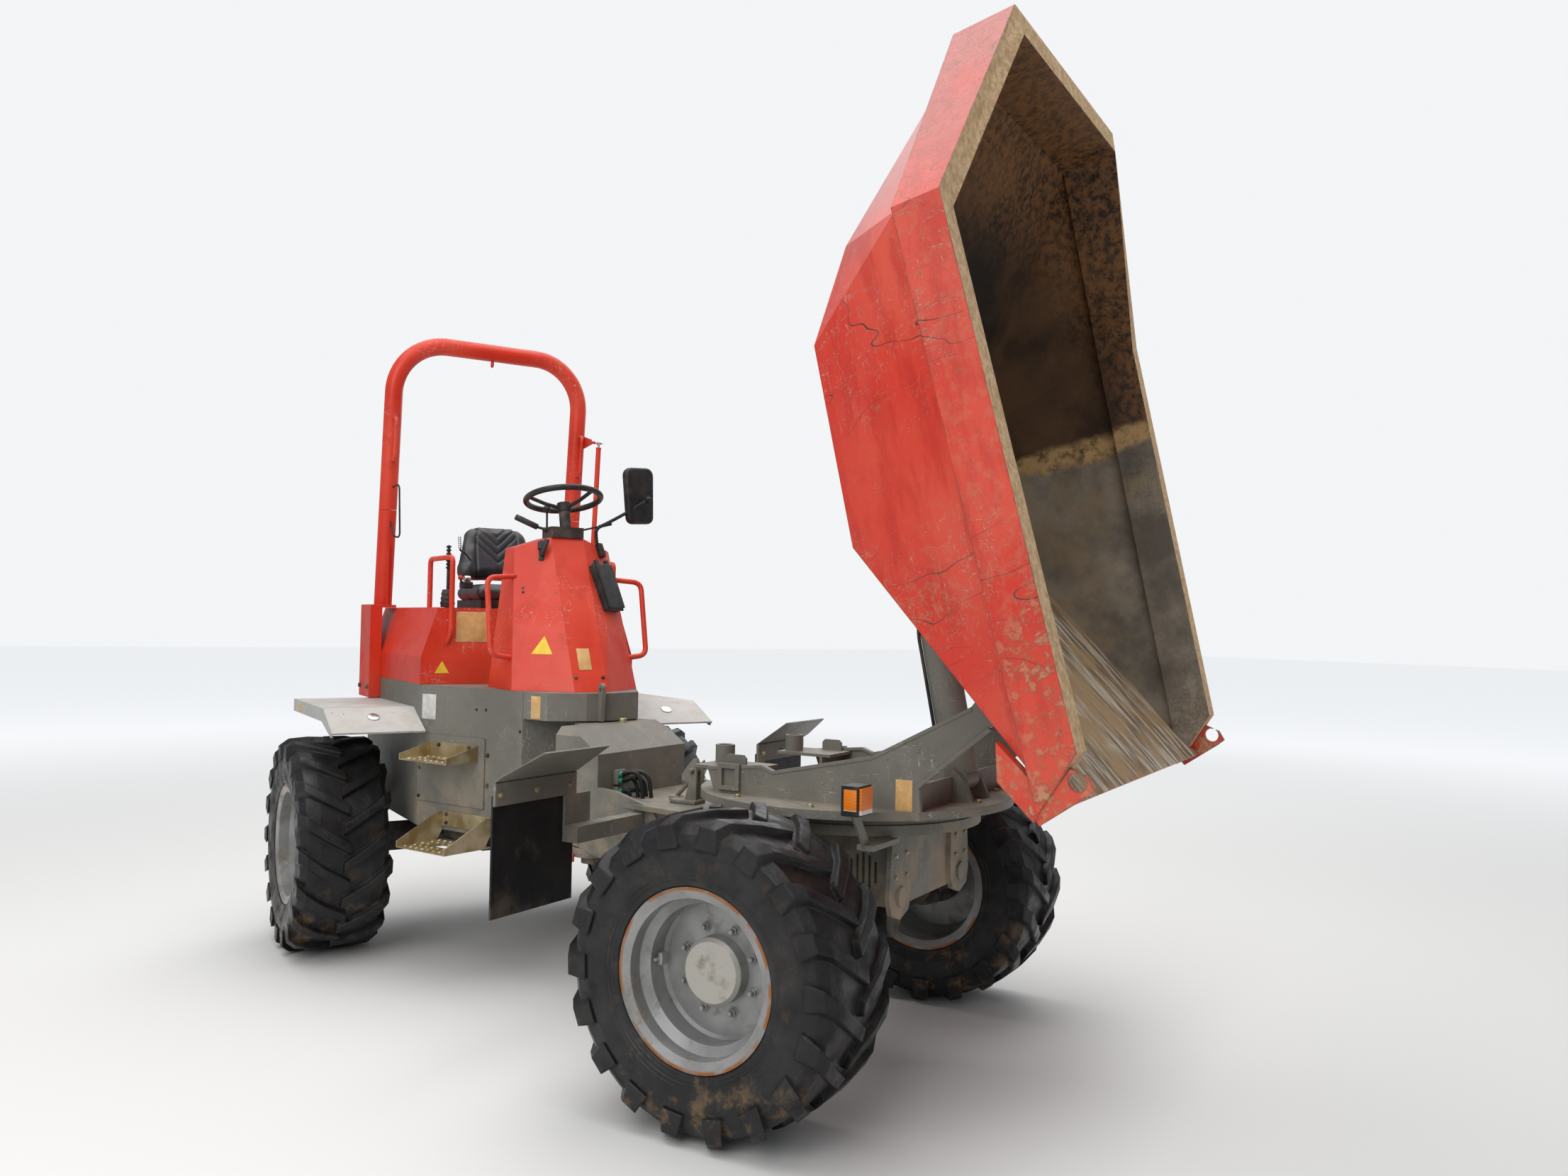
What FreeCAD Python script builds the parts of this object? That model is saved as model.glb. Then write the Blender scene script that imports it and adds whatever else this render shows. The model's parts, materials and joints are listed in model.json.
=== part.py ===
import FreeCAD
import Part
import Sketcher
import math
import os
import re

# Site dumper with a swivelling skip, articulated at its middle.
# Each unit is drawn straight ahead about its own origin, then its pieces are set in the parked pose:
# rear unit and front unit about the steering pin, turret about the slewing axis, skip about its tipping pins.
# The units are drawn with the axles at axle_z, and are lifted or lowered so that the tyres stand on the ground.
# x runs forward, y to the machine's left, z up, and the ground is z = 0. Lengths are millimetres.

V = FreeCAD.Vector
UP = V(0, 0, 1)

# Driving dimensions: name, value, or a formula where a size follows others
DIMENSIONS = [
    # Parked pose
    ("steer_pin_x", -324), ("steer_pin_y", -443), ("steer_angle", 27.75), ("tip_angle", 77),
    # Wheels
    ("body_half", 542), ("rear_axle_x", -1300), ("front_axle_x", 1250), ("wheel_y", "=body_half + 308"),
    ("axle_z", 508), ("tyre_radius", 508), ("tyre_half_width", 203), ("lug_height", 25), ("lug_count", 18),
    ("rim_radius", 254),
    ("flange_radius", 283), ("rim_half_width", 186), ("rim_wall", 8), ("well_depth", 28),
    ("disc_offset", 14), ("disc_thick", 16), ("hub_radius", 107.5), ("hub_reach", 88),
    ("axle_radius", 72), ("axle_flange", 112), ("wheel_gap", 0.3), ("bead_gap", 0.6),
    # Rear chassis
    ("deck_z", 1290), ("sill_z", 635), ("chassis_wall", 10), ("step_face_x", -820), ("nose_half", 212),
    ("slant_end_x", -23), ("nose_x", 42), ("nose_z", 1171), ("front_wall_x", -165), ("tail_x", -1850),
    ("fork_z", 590), ("fork_thick", 40), ("pin_radius", 35), ("fork_radius", 88),
    # Rear bodywork
    ("cover_top", 1655), ("crease_z", 1420), ("shoulder_half", "=body_half - 76"), ("sheet", 8),
    ("console_top", 1985), ("console_back", -560), ("console_flat", 79), ("console_drop", 50),
    ("fender_z", 1180), ("fender_half", "=wheel_y + 105"),
    # Rollover hoop
    ("hoop_half", "=body_half - 25"), ("hoop_tube", 45.5), ("hoop_top", 3062), ("hoop_foot_z", 1655),
    ("hoop_x", -1695), ("hoop_lean", 6), ("fold_z", 2175), ("hoop_bend", "=0.3044 * (hoop_top - fold_z)"),
    ("post_run", "=hoop_top - hoop_bend - fold_z"), ("handle_low", "=fold_z + 0.413 * post_run"),
    ("handle_high", "=fold_z + 0.77 * post_run"), ("handle_reach", 88), ("handle_bar", 10),
    # Seat
    ("seat_x", -1010), ("seat_half", 240), ("seat_z", 1700), ("cushion_thick", 85), ("backrest_top", 2110),
    # Front chassis
    ("neck_half", 300), ("hood_z", 1165), ("hood_back", 40), ("frame_top", 885), ("frame_low", 625),
    ("frame_half", 290), ("frame_front", 1572), ("bore_gap", 0.3),
    # Turret
    ("slew_x", 1275), ("ring_radius", 470), ("ring_bore", 380), ("plate_z", 955), ("plate_thick", 30),
    ("plate_radius", "=wheel_y - tyre_half_width - 57"), ("arm_half", 410), ("arm_thick", 14),
    ("slew_gap", 0.3),
    # Skip, measured from its tipping pins when it is down
    ("tip_x", 1990), ("tip_z", 1365), ("rim_rise", 381), ("lip_forward", 261), ("lip_half", 915),
    ("side_back", 1400), ("side_half", 1072), ("rear_back", 2115), ("rear_half", 562), ("rear_rise", 194),
    ("rim_deep", 150), ("rim_wide", 90), ("floor_drop", 217), ("floor_half", 800),
    ("floor_front", -541), ("floor_rear", -1202), ("skip_sheet", 8), ("lug_hole", 26),
    # Tipping ram
    ("ram_foot_x", 1705), ("ram_z", 1055), ("ram_eye_back", 1039), ("ram_radius", 62), ("ram_rod", 40),
    ("tip_pin_radius", 25), ("tip_boss", 60), ("ear_gap", 6), ("pin_gap", 0.4),
    # Steering ram
    ("steer_foot_x", -560), ("steer_foot_y", 235), ("steer_eye_x", 200), ("steer_eye_y", 240),
    ("steer_ram_z", 598), ("steer_radius", 30), ("steer_rod", 18), ("steer_lock", 33),
    # Hoop strut, on the left post
    ("strut_y", "=hoop_half + 75"), ("strut_foot_x", -1490), ("strut_foot_z", 2030), ("strut_eye_x", -1440),
    ("strut_eye_z", "=fold_z + 0.705 * post_run"), ("strut_radius", 14), ("strut_rod", 6),
    ("fold_back", 74), ("fold_angle", 95),
    # Rear tow jaw
    ("tow_z", 700), ("tow_pin", 16), ("tow_gap", 70), ("tow_plate", 18),
]

doc = FreeCAD.newDocument("site_dumper")
sheet = doc.addObject("Spreadsheet::Sheet", "dims")
for row, (alias, number) in enumerate(DIMENSIONS, start=1):
    sheet.set("A%d" % row, alias)
    sheet.set("B%d" % row, str(number))
    sheet.setAlias("B%d" % row, alias)
doc.recompute()

ALIASES = re.compile(r"\b(" + "|".join(alias for alias, number in DIMENSIONS) + r")\b")
PLANES = {
    "XY": FreeCAD.Rotation(),
    "XZ": FreeCAD.Rotation(V(1, 0, 0), 90),
    "YZ": FreeCAD.Rotation(V(1, 1, 1), 120),
}
pieces = []


def dim(alias):
    """The number that a cell of the sheet holds."""
    return float(sheet.get(alias))


def link(size):
    """The sheet expression for a size given as a number or as words of the table."""
    return ALIASES.sub(r"dims.\1", str(size))


def bind(thing, **sizes):
    """Ties properties to the sheet."""
    for name, size in sizes.items():
        thing.setExpression(name, link(size))
    return thing


def place(thing, x=0, y=0, z=0):
    """Ties a shape's place to the sheet."""
    for axis, size in (("x", x), ("y", y), ("z", z)):
        thing.setExpression("Placement.Base." + axis, link(size))
    return thing


def block(x, y, z, long, wide, high):
    """A box from its lowest corner."""
    return place(bind(doc.addObject("Part::Box", "block"), Length=long, Width=wide, Height=high), x, y, z)


def drum(axis, x, y, z, radius, length):
    """A cylinder that starts at x, y, z and runs along an axis."""
    turns = {"X": (V(0, 1, 0), 90), "Y": (V(1, 0, 0), -90), "Z": (UP, 0)}
    body = bind(doc.addObject("Part::Cylinder", "drum"), Radius=radius, Height=length)
    body.Placement = FreeCAD.Placement(V(), FreeCAD.Rotation(*turns[axis]))
    return place(body, x, y, z)


def outline(plane, points):
    """A closed sketch whose corners are tied to the sheet."""
    sketch = doc.addObject("Sketcher::SketchObject", "outline")
    sketch.Placement = FreeCAD.Placement(V(), PLANES[plane])
    count = len(points)
    turn = 2 * math.pi / count
    start = [V(500 * math.cos(turn * i), 500 * math.sin(turn * i), 0) for i in range(count)]
    edges = [Part.LineSegment(start[i], start[(i + 1) % count]) for i in range(count)]
    sketch.addGeometry(edges, False)
    joins = [Sketcher.Constraint("Coincident", i, 2, (i + 1) % count, 1) for i in range(count)]
    sketch.addConstraint(joins)
    for i, (across, along) in enumerate(points):
        for kind, size, now in (("DistanceX", across, start[i].x), ("DistanceY", along, start[i].y)):
            rule = sketch.addConstraint(Sketcher.Constraint(kind, -1, 1, i, 1, now))
            sketch.setExpression("Constraints[%d]" % rule, link(size))
    return sketch


def slab(plane, points, start, thick):
    """A plate of a drawn outline that starts at a level and grows along +x, +y or +z."""
    sketch = outline(plane, points)
    level = "(%s) + (%s)" % (start, thick) if plane == "XZ" else start
    place(sketch, **{{"XY": "z", "XZ": "y", "YZ": "x"}[plane]: level})
    plate = doc.addObject("Part::Extrusion", "slab")
    plate.Base = sketch
    plate.DirMode = "Normal"
    plate.Solid = True
    return bind(plate, LengthFwd=thick)


def turned(profile, axis):
    """A body of revolution about the wheel's axis, from radius and sideways distance."""
    sketch = outline("XY", profile)
    body = doc.addObject("Part::Revolution", "turned")
    body.Source = sketch
    body.Axis = axis
    body.Angle = 360
    body.Solid = True
    return body


def join(*parts):
    """One body from several that touch."""
    if len(parts) == 1:
        return parts[0]
    union = doc.addObject("Part::MultiFuse", "join")
    union.Shapes = list(parts)
    return union


def carve(base, *tools):
    """A body with pieces taken out."""
    cut = doc.addObject("Part::Cut", "carve")
    cut.Base = base
    cut.Tool = join(*tools)
    return cut


def flip(part):
    """The same shape on the other side of the machine's middle plane."""
    copy = doc.addObject("Part::Mirroring", "flip")
    copy.Source = part
    copy.Normal = V(0, 1, 0)
    return copy


def both(part):
    """A shape and its mirror image in one body."""
    return join(part, flip(part))


def made(shape):
    """A body whose shape is worked out here from the sheet's values."""
    body = doc.addObject("Part::Feature", "made")
    body.Shape = shape
    return body


def poly_solid(stations):
    """A closed solid through sections of as many corners each, with flat facets."""
    count = len(stations[0])
    faces = []

    def facet(*corners):
        ring = [p for i, p in enumerate(corners) if (p - corners[i - 1]).Length > 1e-6]
        if len(ring) < 3:
            return
        if len(ring) == 4:
            normal = (ring[1] - ring[0]).cross(ring[2] - ring[0])
            if abs(normal.dot(ring[3] - ring[0])) > 1e-3 * normal.Length:
                facet(ring[0], ring[1], ring[2])
                facet(ring[0], ring[2], ring[3])
                return
        faces.append(Part.Face(Part.makePolygon(ring + [ring[0]])))

    for near, far in zip(stations, stations[1:]):
        for i in range(count):
            after = (i + 1) % count
            facet(near[i], near[after], far[after], far[i])
    for end in (stations[0], stations[-1]):
        faces.append(Part.Face(Part.makePolygon(list(end) + [end[0]])))
    solid = Part.makeSolid(Part.makeShell(faces))
    if solid.Volume < 0:
        solid.reverse()
    return solid


def bent_path(points, bend):
    """Straight runs joined by arcs."""
    edges = []
    start = points[0]
    for before, corner, after in zip(points, points[1:], points[2:]):
        to_before = (before - corner).normalize()
        to_after = (after - corner).normalize()
        half = to_before.getAngle(to_after) / 2
        reach = bend / math.tan(half)
        middle = (to_before + to_after).normalize() * (bend / math.sin(half) - bend)
        entry = corner + to_before * reach
        leave = corner + to_after * reach
        edges.append(Part.LineSegment(start, entry).toShape())
        edges.append(Part.Arc(entry, corner + middle, leave).toShape())
        start = leave
    edges.append(Part.LineSegment(start, points[-1]).toShape())
    return Part.Wire(edges)


def bent_tube(points, radius, bend):
    """A round tube along straight runs and arcs."""
    path = bent_path(points, bend)
    circle = Part.Circle(points[0], points[1] - points[0], radius).toShape()
    return path.makePipeShell([Part.Wire([circle])], True, True)


# Parked places of the units
lift = dim("tyre_radius") - dim("axle_z")
rear_place = FreeCAD.Placement(V(dim("steer_pin_x"), dim("steer_pin_y"), lift), FreeCAD.Rotation())
front_place = rear_place.multiply(FreeCAD.Placement(V(), FreeCAD.Rotation(UP, dim("steer_angle"))))
tip_turn = FreeCAD.Rotation(V(0, 1, 0), dim("tip_angle"))
skip_place = front_place.multiply(FreeCAD.Placement(V(dim("tip_x"), 0, dim("tip_z")), tip_turn))


def piece(name, part, unit):
    """Names a finished piece and gives it its parked place."""
    held = doc.addObject("Part::Compound", "piece")
    held.Links = [part]
    held.Label = name
    held.Placement = unit
    doc.recompute()
    pieces.append(held)
    return held


def local_shape(name):
    """A finished piece's shape back in the frame that it was drawn in."""
    part = [each for each in pieces if each.Label == name][0]
    shape = part.Shape.copy()
    shape.Placement = FreeCAD.Placement()
    return shape


# Wheels, drawn about the wheel's centre with the outside on +y

def casing():
    """The tyre's carcass without its lugs."""
    half = "tyre_half_width"
    base = "tyre_radius - lug_height"
    right = [
        ("rim_radius + bead_gap", "rim_half_width - 18 - bead_gap"),
        ("flange_radius + bead_gap", "rim_half_width - 6 - bead_gap"),
        ("flange_radius + 4", "rim_half_width + 4"),
        ("flange_radius + 50", half + " - 4"), ("flange_radius + 110", half),
        (base + " - 38", half + " - 8"), (base + " - 8", half + " - 34"), (base, half + " - 90"),
    ]
    left = [(radius, "-(" + side + ")") for radius, side in reversed(right)]
    return turned(right + left, V(0, 1, 0))


def lug(side, angle):
    """One bar of the tread, from the middle out over the shoulder."""
    base = dim("tyre_radius") - dim("lug_height")
    top = dim("tyre_radius")
    half = dim("tyre_half_width")
    # sideways place, turn along the tread, low radius, high radius, half width of the bar
    sections = [
        (-14, 0.00, base - 10, top - 1, 30),
        (half * 0.45, 0.13, base - 12, top, 32),
        (half - 32, 0.25, base - 24, top - 6, 36),
        (half + 5, 0.31, base - 78, top - 32, 40),
    ]
    stations = []
    for sideways, turn, low, high, bar in sections:
        ring = []
        for radius, reach in ((low, -bar), (low, bar), (high, bar * 0.72), (high, -bar * 0.72)):
            around = angle + turn + reach / radius
            ring.append(V(radius * math.cos(around), side * sideways, radius * math.sin(around)))
        stations.append(ring)
    return poly_solid(stations)


def tyre():
    """Carcass with two rows of bars, half a pitch apart."""
    count = int(dim("lug_count"))
    pitch = 2 * math.pi / count
    carcass = casing()
    doc.recompute()
    bars = [lug(side, pitch * (i + (0.25 if side > 0 else -0.25))) for side in (1, -1) for i in range(count)]
    return carcass.Shape.fuse(bars)


def rim():
    """Dished steel wheel with its hub."""
    edge = "rim_half_width"
    bead = "rim_radius"
    profile = [
        ("flange_radius", edge), ("flange_radius", edge + " - 6"), (bead, edge + " - 18"),
        (bead, edge + " - 62"), (bead + " - well_depth", edge + " - 84"),
        (bead + " - well_depth", "disc_offset - 4"),
        (bead, "disc_offset - 34"), (bead, "-(" + edge + " - 18)"), ("flange_radius", "-(" + edge + " - 6)"),
        ("flange_radius", "-" + edge), ("flange_radius - 12", "-" + edge),
        (bead + " - rim_wall", "-(" + edge + " - 10)"), (bead + " - rim_wall", "disc_offset - 40"),
        (bead + " - well_depth - rim_wall", "disc_offset"), ("0", "disc_offset"), ("0", "hub_reach"),
        ("hub_radius - 12", "hub_reach"), ("hub_radius", "hub_reach - 12"),
        ("hub_radius", "disc_offset + disc_thick"),
        (bead + " - well_depth - rim_wall - 10", "disc_offset + disc_thick"),
        (bead + " - well_depth - rim_wall", "disc_offset + disc_thick + 10"),
        (bead + " - well_depth - rim_wall", edge + " - 80"), (bead + " - rim_wall", edge + " - 58"),
        (bead + " - rim_wall", edge + " - 10"), ("flange_radius - 12", edge),
    ]
    return turned(profile, V(0, 1, 0))


def wheel_at(name, part_shape, axle, side, unit):
    """A wheel piece on its axle's end."""
    shape = part_shape.copy()
    if side < 0:
        shape = shape.mirror(V(), V(0, 1, 0))
    part = made(shape)
    part.Placement = FreeCAD.Placement(V(dim(axle), side * dim("wheel_y"), dim("axle_z")), FreeCAD.Rotation())
    return piece(name, part, unit)


wheel_rim = rim()
doc.recompute()
wheel_tyre = tyre()
# corner, axle, side, unit
CORNERS = [
    ("rear_left", "rear_axle_x", 1, rear_place), ("rear_right", "rear_axle_x", -1, rear_place),
    ("front_left", "front_axle_x", 1, front_place), ("front_right", "front_axle_x", -1, front_place),
]
for corner, axle, side, unit in CORNERS:
    wheel_at("tyre_" + corner, wheel_tyre, axle, side, unit)
    wheel_at("rim_" + corner, wheel_rim.Shape, axle, side, unit)


def axle_beam(axle, seat_z):
    """Banjo axle with its end flanges, its cooling ribs and the pads that carry the frame."""
    face = "wheel_y + disc_offset - wheel_gap"
    beam = drum("Y", axle, "-(" + face + ") + 60", "axle_z", "axle_radius", "2 * (" + face + ") - 120")
    bowl = drum("Y", axle, "-75", "axle_z", "axle_radius + 42", "150")
    ribs = [drum("Y", axle, str(y), "axle_z", "axle_radius + 14", "8")
            for y in (-180, -150, -120, 112, 142, 172)]
    snout = drum("X", axle + " - 190", "0", "axle_z", "axle_radius - 10", "380")
    end = drum("Y", axle, "(" + face + ") - 190", "axle_z", "axle_flange - 14", "190")
    flange = drum("Y", axle, "(" + face + ") - 36", "axle_z", "axle_flange", "36")
    pad = block(axle + " - 90", "190", "axle_z", "180", "110", "(" + seat_z + ") - axle_z")
    return join(beam, bowl, snout, *ribs, both(join(end, flange, pad)))


piece("rear_axle", axle_beam("rear_axle_x", "sill_z"), rear_place)
piece("front_axle", axle_beam("front_axle_x", "frame_low"), front_place)


# Rear chassis

def rear_chassis():
    """Grey welded hull: hollow behind, with a nose over the steering pin and a fork under it."""
    low = "sill_z"

    def wall(x):
        return "(nose_half + (slant_end_x - (%s)) * (body_half - nose_half) / (slant_end_x - step_face_x))" % x
    edge = wall("front_wall_x")
    hull = slab("XY", [
        ("tail_x", "-body_half"), ("step_face_x", "-body_half"), ("front_wall_x", "-" + edge),
        ("front_wall_x", edge), ("step_face_x", "body_half"), ("tail_x", "body_half"),
    ], low, "deck_z - sill_z")
    inner = slab("XY", [
        ("tail_x + chassis_wall", "-body_half + chassis_wall"),
        ("step_face_x - 4", "-body_half + chassis_wall"),
        ("front_wall_x - 160", "chassis_wall + 16 - " + wall("front_wall_x - 160")),
        ("front_wall_x - 160", wall("front_wall_x - 160") + " - chassis_wall - 16"),
        ("step_face_x - 4", "body_half - chassis_wall"), ("tail_x + chassis_wall", "body_half - chassis_wall"),
    ], low + " - 1", "deck_z - sill_z - chassis_wall + 1")
    arch = drum("Y", "rear_axle_x", "-body_half - 1", "axle_z", "axle_flange + 40", "2 * body_half + 2")
    nose = slab("XY", [
        ("front_wall_x - 5", "-" + edge), ("slant_end_x", "-nose_half"), ("nose_x", "-60"),
        ("nose_x", "60"), ("slant_end_x", "nose_half"), ("front_wall_x - 5", edge),
    ], "nose_z", "deck_z - nose_z")
    tongue = block("front_wall_x - 240", "-fork_radius", "fork_z", "240 - front_wall_x", "2 * fork_radius",
                   "fork_thick")
    round_end = drum("Z", "0", "0", "fork_z", "fork_radius", "fork_thick")
    web = block("front_wall_x - 240", "-fork_radius", "fork_z", "235", "2 * fork_radius",
                "sill_z - fork_z + 20")
    bore = drum("Z", "0", "0", "fork_z - 1", "pin_radius + bore_gap", "nose_z - fork_z + 20")
    cross = block("rear_axle_x - 110", "-body_half + 1", "sill_z", "220", "2 * body_half - 2", "60")
    beam_ends = [wall("steer_foot_x - 60") + " - 4", wall("steer_foot_x + 60") + " - 4"]
    beam = slab("XY", [
        ("steer_foot_x - 60", "-(%s)" % beam_ends[0]), ("steer_foot_x + 60", "-(%s)" % beam_ends[1]),
        ("steer_foot_x + 60", beam_ends[1]), ("steer_foot_x - 60", beam_ends[0]),
    ], "sill_z", "50")
    ram_pin = drum("Z", "steer_foot_x", "steer_foot_y", "steer_ram_z - steer_radius - 8", "20",
                   "sill_z - steer_ram_z + steer_radius + 9")
    ram_plate = drum("Z", "steer_foot_x", "steer_foot_y", "steer_ram_z - steer_radius - 20", "38", "14")
    web_side = block("steer_foot_x - 60", "steer_foot_y - 38", "steer_ram_z - steer_radius - 20", "12", "76",
                     "sill_z - steer_ram_z + steer_radius + 21")
    web_foot = block("steer_foot_x - 60", "steer_foot_y - 38", "steer_ram_z - steer_radius - 20", "60",
                     "76", "14")
    jaw = block("tail_x - 90", "-55", "tow_z - tow_gap / 2 - tow_plate", "91", "110", "tow_gap + 2 * tow_plate")
    throat = block("tail_x - 91", "-56", "tow_z - tow_gap / 2", "76", "112", "tow_gap")
    tow_hole = drum("Z", "tail_x - 50", "0", "tow_z - tow_gap", "tow_pin", "2 * tow_gap")
    hollow_hull = join(carve(hull, inner, arch), nose, tongue, round_end, web, cross, beam)
    return join(carve(hollow_hull, bore), ram_pin, ram_plate, web_side, web_foot, carve(jaw, throat, tow_hole))


piece("rear_chassis", rear_chassis(), rear_place)
piece("steering_pin", join(
    drum("Z", "0", "0", "fork_z - 20", "pin_radius", "nose_z - fork_z + 35"),
    drum("Z", "0", "0", "fork_z - 32", "pin_radius + 14", "31.7"),
), rear_place)


def lifting_eye():
    """Upright plate on the nose with a slotted eye."""
    plate = slab("XZ", [
        ("nose_x + 0.3", "nose_z"), ("nose_x + 34", "nose_z"), ("nose_x + 44", "nose_z + 90"),
        ("nose_x + 44", "nose_z + 140"), ("nose_x + 0.3", "nose_z + 140"),
    ], "-9", "18")
    eye = drum("Y", "nose_x + 22", "-9", "nose_z + 142", "22", "18")
    hole = drum("Y", "nose_x + 24", "-10", "nose_z + 134", "12", "20")
    return carve(join(plate, eye), hole)


piece("lifting_eye", lifting_eye(), rear_place)
piece("engine_block", block("-1780", "-230", "sill_z + 60.3", "560", "460", "560"), rear_place)


def side_cover():
    """Flat locker door and two folded steps on the slanted side, drawn for the right side."""
    slope = math.atan2(dim("body_half") - dim("nose_half"), dim("slant_end_x") - dim("step_face_x"))
    frame = FreeCAD.Placement(V(dim("step_face_x"), -dim("body_half"), 0),
                              FreeCAD.Rotation(UP, math.degrees(slope)))
    door = Part.makeBox(470, 6, 312, V(2, -6.3, 755))
    shapes = [[door], []]
    # distance along the slanted side, height, reach, drop of the tread below the mounting, seat on door or hull
    for along, height, reach, drop, seat in ((150, 1000, 175, 38, 6.6), (245, 690, 255, 100, 0.3)):
        tread = Part.makeBox(330, reach, 5, V(along - 50, -reach - seat, height - drop))
        back = Part.makeBox(330, 5, 70, V(along - 50, -seat - 5, height - 35))
        wings = []
        for edge in (along - 50, along + 275):
            points = [V(edge, -seat, height - 35), V(edge, -seat, height + 35), V(edge, -60, height + 20),
                      V(edge, -reach - seat, height - drop + 28), V(edge, -reach - seat, height - drop),
                      V(edge, -40, height - drop)]
            wings.append(Part.Face(Part.makePolygon(points + [points[0]])).extrude(V(5, 0, 0)))
        slot = Part.makeBox(120, 50, 30, V(along + 55, -reach / 2 - 25, height - drop - 10))
        shapes[1].append(back.fuse([tread] + wings).cut(slot))
    for group in shapes:
        for shape in group:
            shape.Placement = frame
    return made(shapes[0][0]), [made(shape) for shape in shapes[1]]


door, steps = side_cover()
piece("locker_doors", both(door), rear_place)
piece("steps", join(*[both(step) for step in steps]), rear_place)


def rear_cover():
    """Red engine cover with chamfered shoulders, closed in front by the creased seat riser."""
    def section(x, inset, low):
        shoulder = dim("shoulder_half") - inset
        side = dim("body_half") - inset
        top = dim("cover_top") - inset
        crease = dim("crease_z")
        return [V(x, -side, low), V(x, side, low), V(x, side, crease), V(x, shoulder, top),
                V(x, -shoulder, top), V(x, -side, crease)]
    low = dim("deck_z") + 0.3
    front = dim("step_face_x")
    back = dim("tail_x")
    wall = dim("sheet")
    outer = poly_solid([section(back, 0, low), section(front, 0, low)])
    inner = poly_solid([section(back + wall, wall, low - 1), section(front - wall, wall, low - 1)])
    louvres = [Part.makeBox(wall + 2, 520, 14, V(back - 1, -260, low + 70 + 32 * i)) for i in range(7)]
    return made(outer.cut([inner] + louvres))


piece("rear_cover", rear_cover(), rear_place)


def console():
    """Faceted red tower that leans back over the footwell."""
    low = dim("deck_z") + 0.3
    top = dim("console_top")
    back = dim("console_back")

    flat = dim("console_flat")
    drop = dim("console_drop")

    def section(z, front, corner, half, inset):
        rear = back + inset
        return [V(rear, -half, z), V(corner, -half, z), V(front, -flat, z), V(front, flat, z),
                V(corner, half, z), V(rear, half, z)]

    def corner_cut(side, level):
        points = [V(back - 10, side * flat, level), V(back - 10, side * (flat + 220), level - 1.5 * drop),
                  V(back - 10, side * (flat + 220), level + drop), V(back - 10, side * flat, level + drop)]
        return Part.Face(Part.makePolygon(points + [points[0]])).extrude(V(300, 0, 0))
    outer = poly_solid([section(low, -48, -235, 300, 0), section(top, -381, -455, 226, 0)])
    inner = poly_solid([section(low - 1, -66, -245, 290, 8), section(top - 10, -395, -462, 216, 8)])
    outer = outer.cut([corner_cut(side, top) for side in (1, -1)])
    inner = inner.cut([corner_cut(side, top - 12) for side in (1, -1)])
    return made(outer.cut(inner))


piece("console", console(), rear_place)


def document_box():
    """Closed black case on the console's left front facet, with its lid's rim and two catches."""
    middle = V(-322, 163, 1752)
    along = V(-0.549, 0.836, 0)
    upward = V(-0.300, -0.215, 0.93).normalize()
    upward = (upward - along * upward.dot(along)).normalize()
    outward = along.cross(upward)
    if outward.x < 0:
        outward = -outward
    axes = FreeCAD.Matrix(along.x, outward.x, upward.x, 0, along.y, outward.y, upward.y, 0,
                          along.z, outward.z, upward.z, 0, 0, 0, 0, 1)
    # width, start outwards, depth, height
    layers = [(132, -9, 41, 224), (142, 20, 8, 234), (126, 31, 14, 218)]
    case = None
    for wide, start, deep, tall in layers:
        layer = Part.makeBox(wide, deep, tall, V(-wide / 2, start, -tall / 2))
        layer = layer.makeFillet(5 if deep > 10 else 3, layer.Edges)
        case = layer if case is None else case.fuse(layer)
    catches = [Part.makeBox(22, 16, 20, V(x - 11, 22, 112)) for x in (-40, 40)]
    case = case.fuse(catches).transformGeometry(axes)
    case.translate(middle)
    case = case.cut(local_shape("console"))
    return made(max(case.Solids, key=lambda solid: solid.Volume))


piece("document_box", document_box(), rear_place)


def steering_wheel():
    """Three-spoke wheel, tilted towards the seat."""
    ring = Part.makeTorus(172, 14)
    hub = Part.makeCylinder(32, 40, V(0, 0, -62))
    spokes = []
    for i in range(3):
        turn = math.radians(120 * i + 30)
        out = V(math.cos(turn), math.sin(turn), 0)
        spokes.append(bent_tube([out * 20 - UP * 45, out * 90 - UP * 30, out * 168 - UP * 2], 9, 60))
    centre = V(dim("console_back") + 122, 0, dim("console_top") + 186)
    tilted = FreeCAD.Placement(centre, FreeCAD.Rotation(V(0, 1, 0), -14))
    wheel = made(ring.fuse([hub] + spokes))
    wheel.Placement = tilted
    tube = Part.makeCylinder(26, 115, V(0, 0, -62.3), V(0, 0, -1))
    tube.Placement = tilted
    flat = dim("console_flat") - 2
    binnacle = Part.makeBox(130, 2 * flat, 50, V(dim("console_back") + 60, -flat, dim("console_top") + 0.3))
    return wheel, made(tube.fuse(binnacle))


wheel, column = steering_wheel()
piece("steering_wheel", wheel, rear_place)
piece("steering_column", column, rear_place)


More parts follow.
